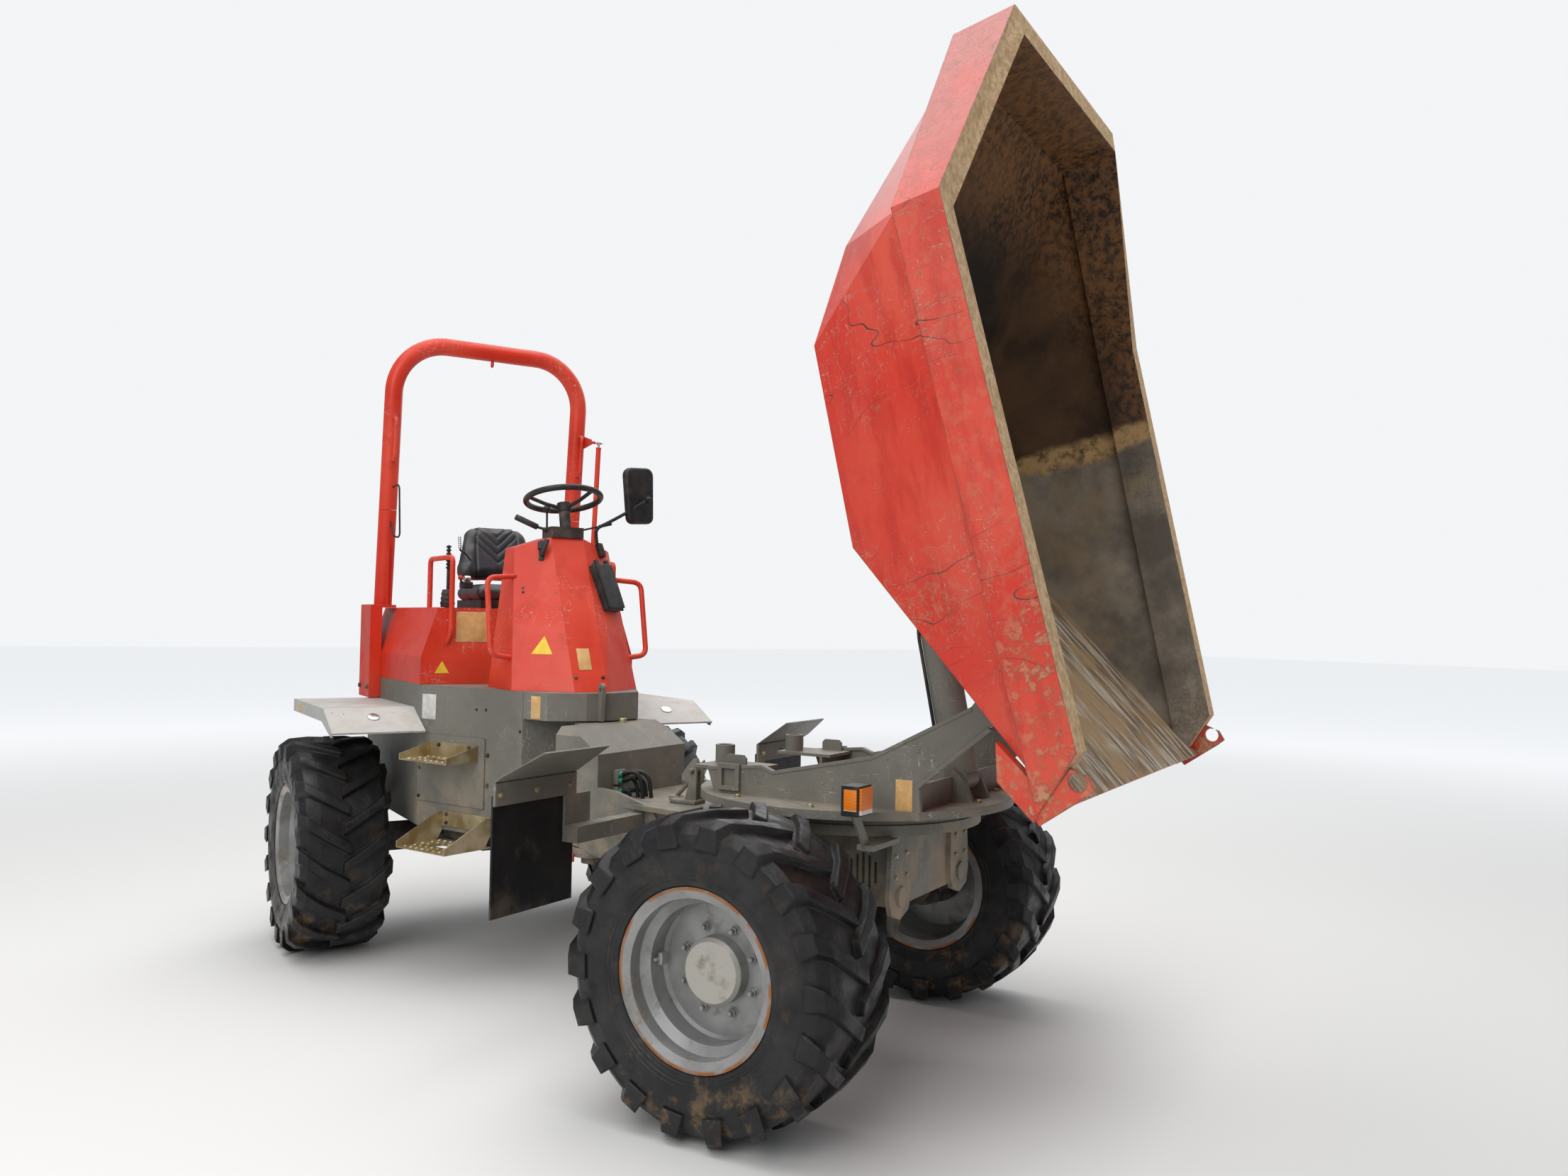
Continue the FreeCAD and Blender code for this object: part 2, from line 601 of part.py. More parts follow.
def fender():
    """Folded mudguard over the rear wheel, drawn for the left side."""
    inner = "body_half + 0.3"
    wide = "fender_half - body_half - 0.3"
    profile = [
        ("-1650", "fender_z - 6"), ("-920", "fender_z - 6"), ("-705", "fender_z - 104"),
        ("-700", "fender_z - 96"),
        ("-917", "fender_z"), ("-1650", "fender_z"),
    ]
    top = slab("XZ", profile, inner, wide)
    skirt = slab("XZ", [
        ("-1650", "fender_z - 60"), ("-940", "fender_z - 60"), ("-720", "fender_z - 118"),
        ("-700", "fender_z - 96"),
        ("-917", "fender_z - 1"), ("-1650", "fender_z - 1"),
    ], "fender_half - 6", "6")
    stay = slab("XZ", [
        ("-1500", "fender_z - 90"), ("-1000", "fender_z - 90"), ("-940", "fender_z - 5"),
        ("-1600", "fender_z - 5"),
    ], inner, "8")
    return both(join(top, skirt, stay))


piece("rear_fenders", fender(), rear_place)


def hoop_point(z, side):
    """A place on the hoop's leaning post."""
    lean = math.tan(math.radians(dim("hoop_lean")))
    return V(dim("hoop_x") + (z - dim("hoop_foot_z")) * lean, side * dim("hoop_half"), z)


def strut_bracket(pin_at):
    """Plate from the left post out to one of the strut's ball pins."""
    inner_y = dim("hoop_half")
    out = dim("strut_y") - dim("strut_radius") - 8 - inner_y
    root = hoop_point(pin_at.z, 1).x
    corners = [V(root, inner_y, pin_at.z - 30), V(pin_at.x + 12, inner_y, pin_at.z - 14),
               V(pin_at.x + 12, inner_y, pin_at.z + 14), V(root, inner_y, pin_at.z + 60)]
    plate = Part.Face(Part.makePolygon(corners + [corners[0]])).extrude(V(0, 8, 0))
    plate.translate(V(0, 20, 0))
    stem = Part.makeCylinder(8, out - 20, V(pin_at.x, inner_y + 20, pin_at.z), V(0, 1, 0))
    return plate.fuse(stem)


def hoop_base():
    """Pedestals, gusseted post feet and the lower half of the fold joint."""
    shapes = []
    fold = dim("fold_z")
    for side in (-1, 1):
        foot = hoop_point(dim("hoop_foot_z"), side)
        y_low = dim("body_half") + 0.3
        pedestal_y = y_low if side > 0 else -y_low - 60
        pedestal = Part.makeBox(220, 60, dim("hoop_foot_z") - 1180, V(-1810, pedestal_y, 1185))
        cap_y = side * (dim("body_half") - 5) - 65
        cap = Part.makeBox(220, 130, 14, V(-1810, cap_y, dim("hoop_foot_z") + 0.3))
        post = bent_tube([foot + UP * 8, hoop_point(fold - 1, side)], dim("hoop_tube"), 1)
        rib_points = [foot + V(30, 0, 10), foot + V(95, 0, 10), foot + V(96, 0, 330), foot + V(50, 0, 330)]
        rib = Part.Face(Part.makePolygon(rib_points + [rib_points[0]])).extrude(V(0, 10, 0))
        rib.translate(V(0, -5, 0))
        at_fold = hoop_point(fold, side)
        hinge = at_fold - V(dim("fold_back"), 0, 0)
        ear = Part.makeBox(60, 12, 70, hinge + V(-18, -20, -70))
        far_ear = Part.makeBox(60, 12, 70, hinge + V(-18, 8, -70))
        pin_hole = Part.makeCylinder(12 + dim("pin_gap"), 60, hinge - V(0, 30, 0), V(0, 1, 0))
        ears = [Part.makeCylinder(20, 12, hinge + V(0, y, 0), V(0, 1, 0)) for y in (-20, 8)]
        solid = pedestal.fuse([cap, post, rib, ear, far_ear] + ears)
        if side > 0:
            foot_pin = V(dim("strut_foot_x"), dim("strut_y"), dim("strut_foot_z"))
            solid = solid.fuse(strut_bracket(foot_pin))
        shapes.append(solid.cut(pin_hole))
    return made(Part.makeCompound(shapes))


piece("hoop_base", hoop_base(), rear_place)


def rollover_hoop():
    """Bent tube above the fold joint with its grab handles and pin knuckles."""
    fold = dim("fold_z")
    top = dim("hoop_top")
    path = [hoop_point(fold + 1, -1), hoop_point(top, -1), hoop_point(top, 1), hoop_point(fold + 1, 1)]
    tube = bent_tube(path, dim("hoop_tube"), dim("hoop_bend"))
    parts = []
    for side in (-1, 1):
        low = hoop_point(dim("handle_low"), side)
        high = hoop_point(dim("handle_high"), side)
        out = V(dim("handle_reach"), 0, 0)
        parts.append(bent_tube([low, low + out, high + out, high], dim("handle_bar"), 30))
        hinge = hoop_point(fold, side) - V(dim("fold_back"), 0, 0)
        knuckle = Part.makeCylinder(18, 15, hinge - V(0, 7.5, 0), V(0, 1, 0))
        arm = Part.makeBox(dim("fold_back"), 15, 46, hinge + V(-18, -7.5, 20))
        link_plate = Part.makeBox(34, 15, 40, hinge + V(-17, -7.5, -2))
        pin = Part.makeCylinder(12, 50, hinge - V(0, 25, 0), V(0, 1, 0))
        parts += [knuckle, arm, link_plate, pin]
    parts.append(strut_bracket(V(dim("strut_eye_x"), dim("strut_y"), dim("strut_eye_z"))))
    return made(tube.fuse(parts))


piece("rollover_hoop", rollover_hoop(), rear_place)


def hoop_cable():
    """Thin cable that loops in front of the right post, past the fold joint."""
    surface = V(dim("hoop_tube"), 0, 0)
    upper = hoop_point(dim("fold_z") + 115, -1) + surface + V(6, 8, 0)
    lower = hoop_point(dim("fold_z") - 65, -1) + surface + V(-4, 8, 0)
    points = [upper, upper + V(78, 14, 12), lower + V(104, 24, -92), lower + V(38, 8, -78), lower]
    cable = bent_tube(points, 4.5, 24).cut(local_shape("hoop_base"))
    return made(max(cable.Solids, key=lambda solid: solid.Volume))


piece("hoop_cable", hoop_cable(), rear_place)


# Seat

def seat_part(x_low, x_high, z_low, z_high, half, shift):
    """A plain pad, sheared backwards with height."""
    ring = [(x_low, -half), (x_high, -half), (x_high, half), (x_low, half)]
    return made(poly_solid([[V(x, y, z_low) for x, y in ring], [V(x + shift, y, z_high) for x, y in ring]]))


seat_z = dim("seat_z")
seat_top = seat_z + dim("cushion_thick")
seat_x = dim("seat_x")
piece("seat_base", seat_part(seat_x - 440, seat_x - 40, dim("cover_top") + 0.3, seat_z - 0.3, 190, 0),
      rear_place)
piece("seat_cushion", seat_part(seat_x - 430, seat_x, seat_z, seat_top, dim("seat_half"), 0), rear_place)
back_pad = seat_part(seat_x - 440, seat_x - 320, seat_top + 0.3, dim("backrest_top"), dim("seat_half") - 20,
                     -90)
piece("seat_back", back_pad, rear_place)


def rail_set():
    """Red tubes beside the console and beside the seat, drawn for the right side."""
    tower = local_shape("console")
    console_rail = bent_tube([V(-300, -262, 1430), V(-300, -372, 1450), V(-306, -372, 1785),
                              V(-390, -240, 1800)], 12, 40)
    top = dim("cover_top") + 0.3
    inner = -dim("shoulder_half") + 21
    outer = inner + 15
    back = dim("step_face_x") - 30
    front = dim("step_face_x") + 30
    seat_rail = bent_tube([V(back, inner, top), V(back, inner, top + 235), V(front, outer, top + 235),
                           V(front, outer, top - 95), V(front - 29.7, outer, top - 155)], 12, 26)
    seat_rail = max(seat_rail.cut(local_shape("rear_cover")).Solids, key=lambda solid: solid.Volume)
    return both(join(made(console_rail.cut(tower).Solids[0]), made(seat_rail)))


piece("grab_rails", rail_set(), rear_place)
lever_y = "-shoulder_half + 81"
piece("control_lever", join(
    drum("Z", "-950", lever_y, "cover_top + 0.3", "42", "95"),
    drum("Z", "-950", lever_y, "cover_top + 90", "9", "150"),
    drum("Z", "-950", lever_y, "cover_top + 238", "20", "70"),
), rear_place)


def mirror_and_arm():
    """Rear-view mirror on a bent arm from the console's left side."""
    arm = bent_tube([V(-470, 226.5, 1900), V(-470, 262, 1925), V(-470, 262, 2050), V(-398, 350, 2190)], 9, 25)
    head = Part.makeBox(58, 190, 264, V(-390, 255, 2072))
    head = head.makeFillet(22, head.Edges)
    return made(arm.cut(local_shape("console"))), made(head.cut(arm))


arm, head = mirror_and_arm()
piece("mirror_arm", arm, rear_place)
piece("mirror_head", head, rear_place)


# Front chassis

def front_chassis():
    """Neck with its sloping hood, box frame and the front plates that hold the axle pins."""
    hood_points = [("hood_back", "hood_z"), ("124", "hood_z"), ("264", "hood_z - 100"),
                   ("264", "frame_top - 40"),
                   ("hood_back", "frame_top - 40")]
    hood = slab("XZ", hood_points, "-neck_half", "2 * neck_half")
    hood_inside = slab("XZ", [
        ("hood_back - 1", "hood_z - 12"), ("118", "hood_z - 12"), ("252", "hood_z - 106"),
        ("252", "frame_top - 41"),
        ("hood_back - 1", "frame_top - 41"),
    ], "-neck_half + 12", "2 * neck_half - 24")
    hood_edge = slab("YZ", [
        ("neck_half - 34", "hood_z + 1"), ("neck_half + 1", "hood_z - 34"), ("neck_half + 1", "hood_z + 1"),
    ], "hood_back - 2", "260")
    inner_edge = slab("YZ", [
        ("neck_half - 39", "hood_z - 11"), ("neck_half - 11", "hood_z - 39"), ("neck_half - 11", "hood_z - 11"),
    ], "hood_back - 2", "260")
    hood = carve(hood, both(hood_edge))
    hood_inside = carve(hood_inside, both(inner_edge))
    top_eye = drum("Z", "0", "0", "hood_z - 30", "fork_radius", "30")
    top_arm = block("0", "-fork_radius", "hood_z - 30", "hood_back + 30", "2 * fork_radius", "30")
    low_eye = drum("Z", "0", "0", "fork_z + fork_thick + 6", "fork_radius", "50")
    low_arm = block("0", "-fork_radius", "fork_z + fork_thick + 6", "120", "2 * fork_radius", "50")
    side = slab("XZ", [
        ("hood_back", "frame_top + 65"), ("351", "frame_top + 41"), ("534", "frame_top - 9"),
        ("560", "frame_top - 49"),
        ("560", "frame_top - 140"), ("415", "frame_top - 128"), ("hood_back", "frame_top - 40"),
    ], "neck_half - 20", "20")
    neck = slab("XZ", [
        ("90", "frame_top"), ("90", "frame_low + 40"), ("320", "frame_low - 25"), ("620", "frame_low - 25"),
        ("620", "frame_top"),
    ], "-210", "420")
    frame = block("540", "-frame_half", "frame_low", "frame_front - 540", "2 * frame_half",
                  "frame_top - frame_low")
    hollow = block("600", "-frame_half + 20", "frame_low - 1", "frame_front - 640", "2 * frame_half - 40",
                   "frame_top - frame_low - 24")
    # half height of each slot of the oval vents
    vents = [block("frame_front - %d" % (170 - 24 * i), "-frame_half - 1", "frame_low + 115 - %d" % half, "10",
                   "2 * frame_half + 2", str(2 * half)) for i, half in enumerate((38, 58, 66, 58, 38))]
    deck = slab("XY", [
        ("264", "-280"), ("700", "-350"), ("frame_front + 18", "-350"), ("frame_front + 18", "350"),
        ("700", "350"),
        ("264", "280"),
    ], "frame_top - 20", "20")
    cheek = slab("YZ", [
        ("180", "frame_top - 20"), ("180", "664"), ("200", "610"), ("269", "585"), ("338", "610"),
        ("358", "664"),
        ("340", "frame_top - 20"),
    ], "frame_front", "18")
    pin = drum("X", "frame_front + 10", "269", "664", "36", "18")
    bore = drum("Z", "0", "0", "fork_z", "pin_radius + bore_gap", "hood_z - fork_z + 10")
    ring = carve(
        drum("Z", "slew_x", "0", "frame_top - 1", "ring_radius", "36"),
        drum("Z", "slew_x", "0", "frame_top - 2", "ring_bore", "40"),
    )
    ear = join(
        slab("XY", [
            ("steer_eye_x - 110", "205"), ("steer_eye_x - 36", "steer_eye_y + 30"),
            ("steer_eye_x + 36", "steer_eye_y + 30"), ("steer_eye_x + 130", "205"),
        ], "steer_ram_z + steer_radius + 14", "18"),
        block("steer_eye_x - 60", "180", "steer_ram_z + steer_radius + 14", "150", "30", "90"),
    )
    body = join(carve(hood, hood_inside), top_eye, top_arm, low_eye, low_arm, both(side), neck,
                carve(frame, hollow, *vents), deck, both(join(cheek, pin)), ring, ear)
    return carve(body, bore)


piece("front_chassis", front_chassis(), front_place)


def mud_guard():
    """Rubber flap, its clamping strip and the leaning plate behind a front wheel, drawn for the left."""
    low_y = dim("wheel_y") - 210
    strip = Part.makeBox(12, 420, 80, V(430, low_y, 965))
    plate_points = [V(430, low_y, 1045), V(436, low_y, 1045), V(596, low_y, 1150), V(590, low_y, 1154)]
    plate = Part.Face(Part.makePolygon(plate_points + [plate_points[0]])).extrude(V(0, 420, 0))
    corner = [V(470, low_y + 421, 1000), V(610, low_y + 336, 1000), V(610, low_y + 421, 1000)]
    plate = plate.cut(Part.Face(Part.makePolygon(corner + [corner[0]])).extrude(V(0, 0, 200)))
    bracket = Part.makeBox(60, low_y + 60 - dim("neck_half"), 60, V(442, dim("neck_half") + 0.3, 795))
    stem = Part.makeBox(12, 140, 170, V(430, low_y - 80, 795))
    carrier = strip.fuse([plate, bracket, stem])
    flap = Part.makeBox(8, 416, 420, V(421.7, low_y + 2, 580))
    return made(carrier), made(flap)


carrier, flap = mud_guard()
piece("flap_carriers", both(carrier), front_place)
piece("mud_flaps", both(flap), front_place)


# Turret

def turret():
    """Round base plate with two cranked arms up to the tipping pins."""
    top = "plate_z + plate_thick"
    plate = join(
        drum("Z", "slew_x", "0", "plate_z", "plate_radius", "plate_thick"),
        slab("XY", [
            ("slew_x", "-plate_radius + 60"), ("1720", "-arm_half"), ("1790", "-arm_half + 150"),
            ("1790", "arm_half - 150"), ("1720", "arm_half"), ("slew_x", "plate_radius - 60"),
        ], "plate_z", "plate_thick"),
    )
    opening = drum("Z", "slew_x", "0", "plate_z - 1", "170", "plate_thick + 2")
    race_low = "frame_top + 35 + slew_gap"
    race = carve(
        drum("Z", "slew_x", "0", race_low, "ring_radius - 8", "plate_z + 1 - (" + race_low + ")"),
        drum("Z", "slew_x", "0", "frame_top", "ring_bore + 8", "plate_z - frame_top + 2"),
    )
    arm = slab("XZ", [
        ("900", top + " - 1"), ("867", "1075"), ("1100", "1096"), ("1148", "1079"), ("1540", "1160"),
        ("1898", "1344"),
        ("tip_x - 40", "tip_z + 44"), ("tip_x + 46", "tip_z + 30"), ("tip_x + 42", "tip_z - 42"),
        ("1964", "1280"),
        ("1711", "1072"), ("1717", top + " - 1"),
    ], "arm_half - arm_thick", "arm_thick")
    boss = drum("Y", "tip_x", "arm_half - arm_thick", "tip_z", "tip_boss", "arm_thick")
    flange = slab("XZ", [
        ("867", "1075"), ("1100", "1096"), ("1148", "1079"), ("1540", "1160"), ("1898", "1344"),
        ("1904", "1333"),
        ("1544", "1148"), ("1150", "1067"), ("1100", "1084"), ("868", "1063"),
    ], "arm_half - 22", "24")
    low_flange = slab("XZ", [
        ("1711", top + " - 1"), ("1705", "1072"), ("1958", "1282"), ("1966", "1274"), ("1719", "1066"),
        ("1725", top + " - 1"),
    ], "arm_half - arm_thick", "arm_thick + 5")
    socket_frame = carve(
        block("922", "arm_half - 1", top + " + 12", "92", "14", "96"),
        block("940", "arm_half", top + " + 28", "56", "14", "62"),
    )
    catch = slab("XZ", [("925", "1060"), ("1015", "1060"), ("1015", "1110"), ("1003", "1122"), ("937", "1122"),
                        ("925", "1110")], "arm_half - arm_thick - 28", "8")
    hole = drum("Y", "tip_x", "arm_half - arm_thick - 1", "tip_z", "tip_pin_radius + bore_gap", "arm_thick + 2")
    rear_plate = block("800", "205", "1065", "250", "arm_half - arm_thick - 204", "12")
    rear_web = block("1000", "205", top, "14", "arm_half - arm_thick - 204", "1066 - (" + top + ")")
    rest = carve(
        drum("Z", "849", "262", "1064", "37", "tip_z - floor_drop - 5 - 1064"),
        drum("Z", "849", "262", "1085", "26", "100"),
    )
    front_web = block("1690", "-arm_half + 10", top + " - 1", "14", "2 * arm_half - 20", "86")
    ears = slab("XZ", [
        ("ram_foot_x - 75", top + " - 1"), ("ram_foot_x - 45", "ram_z"), ("ram_foot_x", "ram_z + 45"),
        ("ram_foot_x + 45", "ram_z"), ("ram_foot_x + 75", top + " - 1"),
    ], "ram_radius + ear_gap", "20")
    web_gap = block("1680", "-ram_radius - ear_gap - 1", top, "40", "2 * (ram_radius + ear_gap + 1)", "200")
    side = join(carve(join(arm, boss, low_flange), hole), flange, rear_plate, rear_web, rest, ears,
                socket_frame,
                catch)
    return join(carve(plate, opening), race, carve(front_web, web_gap), both(side))


piece("turret", turret(), front_place)
piece("tip_pins", both(drum("Y", "tip_x", "arm_half - arm_thick - 46", "tip_z", "tip_pin_radius",
                            "arm_thick + 54")),
      front_place)


def lamp():
    """Corner lamp on a bracket beside the turret, drawn for the left side."""
    low = "axle_z + tyre_radius - 16"
    inner = "wheel_y - 265"
    body = block("1571.3", inner + " + 6.3", low, "64", "78", "84")
    shell = carve(
        block("1565", inner, low + " - 6.3", "62", "90.6", "96.6"),
        block("1571", inner + " + 6", low + " - 0.3", "70", "78.6", "84.6"),
    )
    stay = slab("YZ", [
        ("wheel_y - 350", "870"), ("wheel_y - 300", "870"), ("wheel_y - 210", low + " - 6"),
        ("wheel_y - 260", low + " - 6"),
    ], "1580", "8")
    foot = block("1560", "350.3", "frame_top - 20", "60", "wheel_y - 650", "18")
    return both(body), both(join(shell, stay, foot))


lamps, stays = lamp()
piece("lamps", lamps, front_place)
piece("lamp_stays", stays, front_place)


# Tipping ram

def ram(names, radius, rod_radius, shut, length, pin, pin_reach, foot):
    """A ram along +x from its foot pin: its barrel and its rod, which is drawn out to a length."""
    across = V(0, 0, 1) if pin == "Z" else V(0, 1, 0)
    eye_radius = 0.72 * radius
    head = shut - eye_radius - 0.35 * radius
    clear = dim("pin_gap")
    barrel = Part.makeCylinder(radius, head - 0.3 * radius, V(0.3 * radius, 0, 0), V(1, 0, 0))
    barrel = barrel.fuse(Part.makeCylinder(eye_radius, 1.8 * radius, across * -0.9 * radius, across))
    barrel = barrel.fuse(Part.makeCylinder(1.08 * radius, 0.5 * radius, V(head - 0.5 * radius, 0, 0),
                                           V(1, 0, 0)))
    bore = Part.makeCylinder(rod_radius + clear, head, V(1.2 * radius, 0, 0), V(1, 0, 0))
    if foot == "pin":
        barrel = barrel.fuse(Part.makeCylinder(0.4 * radius, 2 * pin_reach, across * -pin_reach, across))
    else:
        barrel = barrel.cut(Part.makeCylinder(20 + clear, 4 * radius, across * -2 * radius, across))
    rod = Part.makeCylinder(rod_radius, shut - 1.4 * radius, V(1.4 * radius, 0, 0), V(1, 0, 0))
    rod = rod.fuse(Part.makeCylinder(eye_radius, 1.5 * radius, V(shut, 0, 0) - across * 0.75 * radius, across))
    rod = rod.fuse(Part.makeCylinder(0.4 * radius, 2 * pin_reach, V(shut, 0, 0) - across * pin_reach, across))
    moved = made(rod)
    moved.Placement = FreeCAD.Placement(V(length - shut, 0, 0), FreeCAD.Rotation())
    return dict(zip(names, (made(barrel.cut(bore)), moved)))


def aimed(start, end, turn_axis):
    """The placement that lays +x from one point to another, and the distance between them."""
    way = end - start
    if turn_axis == "Z":
        angle = math.degrees(math.atan2(way.y, way.x))
        return FreeCAD.Placement(start, FreeCAD.Rotation(UP, angle)), way.Length
    angle = math.degrees(math.atan2(-way.z, way.x))
    return FreeCAD.Placement(start, FreeCAD.Rotation(V(0, 1, 0), angle)), way.Length


def tip_ram():
    """The tipping ram in the turret, drawn out to the tipped skip's bracket."""
    foot = V(dim("ram_foot_x"), 0, dim("ram_z"))
    eye = V(-dim("ram_eye_back"), 0, dim("ram_z") - dim("tip_z"))
    shut = (V(dim("tip_x"), 0, dim("tip_z")) + eye - foot).Length
    raised = V(dim("tip_x"), 0, dim("tip_z")) + tip_turn.multVec(eye)
    place_now, length = aimed(foot, raised, "Y")
    reach = dim("ram_radius") + dim("ear_gap") - dim("pin_gap")
    pair = ram(("tip_ram_barrel", "tip_ram_rod"), dim("ram_radius"), dim("ram_rod"), shut, length, "Y",
               reach, "pin")
    return pair, front_place.multiply(place_now)


def steering_ram():
    """The steering ram under the left side, from the rear hull to the front unit's neck."""
    foot = V(dim("steer_foot_x"), dim("steer_foot_y"), dim("steer_ram_z"))
    eye = V(dim("steer_eye_x"), dim("steer_eye_y"), dim("steer_ram_z"))
    shut = (FreeCAD.Rotation(UP, dim("steer_lock")).multVec(eye) - foot).Length
    place_now, length = aimed(foot, FreeCAD.Rotation(UP, dim("steer_angle")).multVec(eye), "Z")
    reach = dim("steer_radius") + 13
    pair = ram(("steer_ram_barrel", "steer_ram_rod"), dim("steer_radius"), dim("steer_rod"), shut - 8,
               length, "Z",
               reach, "eye")
    return pair, rear_place.multiply(place_now)


def hoop_strut():
    """The gas strut beside the left post."""
    foot = V(dim("strut_foot_x"), dim("strut_y"), dim("strut_foot_z"))
    eye = V(dim("strut_eye_x"), dim("strut_y"), dim("strut_eye_z"))
    place_now, length = aimed(foot, eye, "Y")
    reach = dim("strut_radius") + 7.7
    pair = ram(("strut_tube", "strut_rod"), dim("strut_radius"), dim("strut_rod"), length - 10, length, "Y",
               reach,
               "pin")
    return pair, rear_place.multiply(place_now)


for make_ram in (tip_ram, steering_ram, hoop_strut):
    ram_pair, ram_unit = make_ram()
    for name, body in ram_pair.items():
        piece(name, body, ram_unit)


# Skip, drawn as it lies when it is down, about its tipping pins

def skip_corners():
    """Named corners of the skip's outside, on its left."""
    rim = dim("rim_rise")
    front = dim("lip_forward")
    floor = -dim("floor_drop")
    return {
        "lip": V(front + 69, dim("lip_half") - 55, rim - 92),
        "lip_side": V(front - 31, dim("lip_half") - 45, rim - dim("rim_deep")),
        "floor_front": V(dim("floor_front"), dim("floor_half"), floor),
        "floor_rear": V(dim("floor_rear"), dim("floor_half"), floor),
        "knee": V(dim("floor_rear") - 299, dim("floor_half") - 60, floor + 148),
        "side_low": V(-dim("side_back"), dim("side_half") - 27, rim - dim("rim_deep")),
        "rear_low": V(-dim("rear_back") + 76, dim("rear_half"), rim - 18),
    }


def mirrored(point):
    """The same corner on the right side."""
    return V(point.x, -point.y, point.z)


def plate_inward(corners, centre, thick):
    """A flat plate whose outer face is given and whose thickness lies towards the centre."""
    face = Part.Face(Part.makePolygon(corners + [corners[0]]))
    normal = (corners[1] - corners[0]).cross(corners[2] - corners[0]).normalize()
    if normal.dot(centre - corners[0]) < 0:
        normal = -normal
    return face.extrude(normal * thick)


def skip_tub():
    """Plates of the skip: pour plate, floor, cranked back, folded sides and corner panels."""
    at = skip_corners()
    centre = V(-900, 0, 200)
    thick = dim("skip_sheet")
    half = [
        [at["floor_front"], at["floor_rear"], at["side_low"]],
        [at["floor_front"], at["side_low"], at["lip_side"]],
        [at["floor_front"], at["lip_side"], at["lip"]],
        [at["floor_rear"], at["knee"], at["side_low"]],
        [at["knee"], at["rear_low"], at["side_low"]],
    ]
    across = [
        [at["lip"], at["floor_front"], mirrored(at["floor_front"]), mirrored(at["lip"])],
        [at["floor_front"], at["floor_rear"], mirrored(at["floor_rear"]), mirrored(at["floor_front"])],
        [at["floor_rear"], at["knee"], mirrored(at["knee"]), mirrored(at["floor_rear"])],
        [at["knee"], at["rear_low"], mirrored(at["rear_low"]), mirrored(at["knee"])],
    ]
    plates = [plate_inward(corners, centre, thick) for corners in across]
    plates += [plate_inward(corners, centre, thick) for corners in half]
    plates += [plate_inward([mirrored(p) for p in corners], centre, thick) for corners in half]
    return plates[0].fuse(plates[1:])


def skip_rim():
    """Box-section rim on five sides, raised at the back, with the lip's lugs."""
    rim = dim("rim_rise")
    deep = dim("rim_deep")
    wide = dim("rim_wide")
    rear_top = rim + dim("rear_rise")
    end_x = dim("lip_forward") - 77
    spread = (dim("side_half") - dim("lip_half")) / (dim("side_back") + dim("lip_forward") + 20)
    end_y = dim("lip_half") + spread * 97
    # x, outer y, inner x shift, inner y, top z, bottom z, reach of the bottom edge of each section, left half
    half = [
        (end_x, end_y, 0, end_y - wide, rim, rim - deep, deep),
        (-dim("side_back"), dim("side_half"), 28, dim("side_half") - wide, rim, rim - deep, 0),
        (-dim("rear_back"), dim("rear_half"), 90, dim("rear_half") - 32, rear_top, rim - 18, 0),
    ]
    stations = []
    for side, rows in ((1, half), (-1, list(reversed(half)))):
        for x, outer, shift, inner, top, low, reach in rows:
            drawn_in = spread * reach
            stations.append([V(x, side * outer, top), V(x + shift, side * inner, top),
                             V(x + shift + reach, side * (inner - drawn_in), low),
                             V(x + reach, side * (outer - drawn_in), low)])
    return poly_solid(stations)


tub = skip_tub()
rim_frame = skip_rim()


def lip_end(side):
    """Reinforcement under the lip and the lug with its lifting hole, on one side."""
    front = dim("lip_forward")
    rim = dim("rim_rise")
    y = dim("lip_half") - 55
    foot = [V(front - 143, y - 8, rim - 232), V(front - 33, y - 8, rim - 252), V(front + 89, y - 8, rim - 172),
            V(front + 69, y - 8, rim - 92)]
    gusset = Part.Face(Part.makePolygon(foot + [foot[0]])).extrude(V(0, 40, 0))
    lug_y = dim("lip_half") - 27
    lug = [V(front - 60, lug_y, rim - 60), V(front - 10, lug_y, rim + 10), V(front + 28, lug_y, rim + 22),
           V(front + 44, lug_y, rim - 10), V(front + 100, lug_y, rim - 150), V(front + 60, lug_y, rim - 170),
           V(front - 60, lug_y, rim - 150)]
    plate = Part.Face(Part.makePolygon(lug + [lug[0]])).extrude(V(0, 20, 0))
    hole = Part.makeCylinder(dim("lug_hole"), 60, V(front, lug_y - 20, rim - 20), V(0, 1, 0))
    end = gusset.fuse(plate).cut(hole)
    return end if side > 0 else end.mirror(V(), V(0, 1, 0))


def skip_lugs():
    """Both lip ends, seated on the rim and the pour plate."""
    ends = [lip_end(side).cut([tub, rim_frame]) for side in (1, -1)]
    return [max(end.Solids, key=lambda solid: solid.Volume) for end in ends]


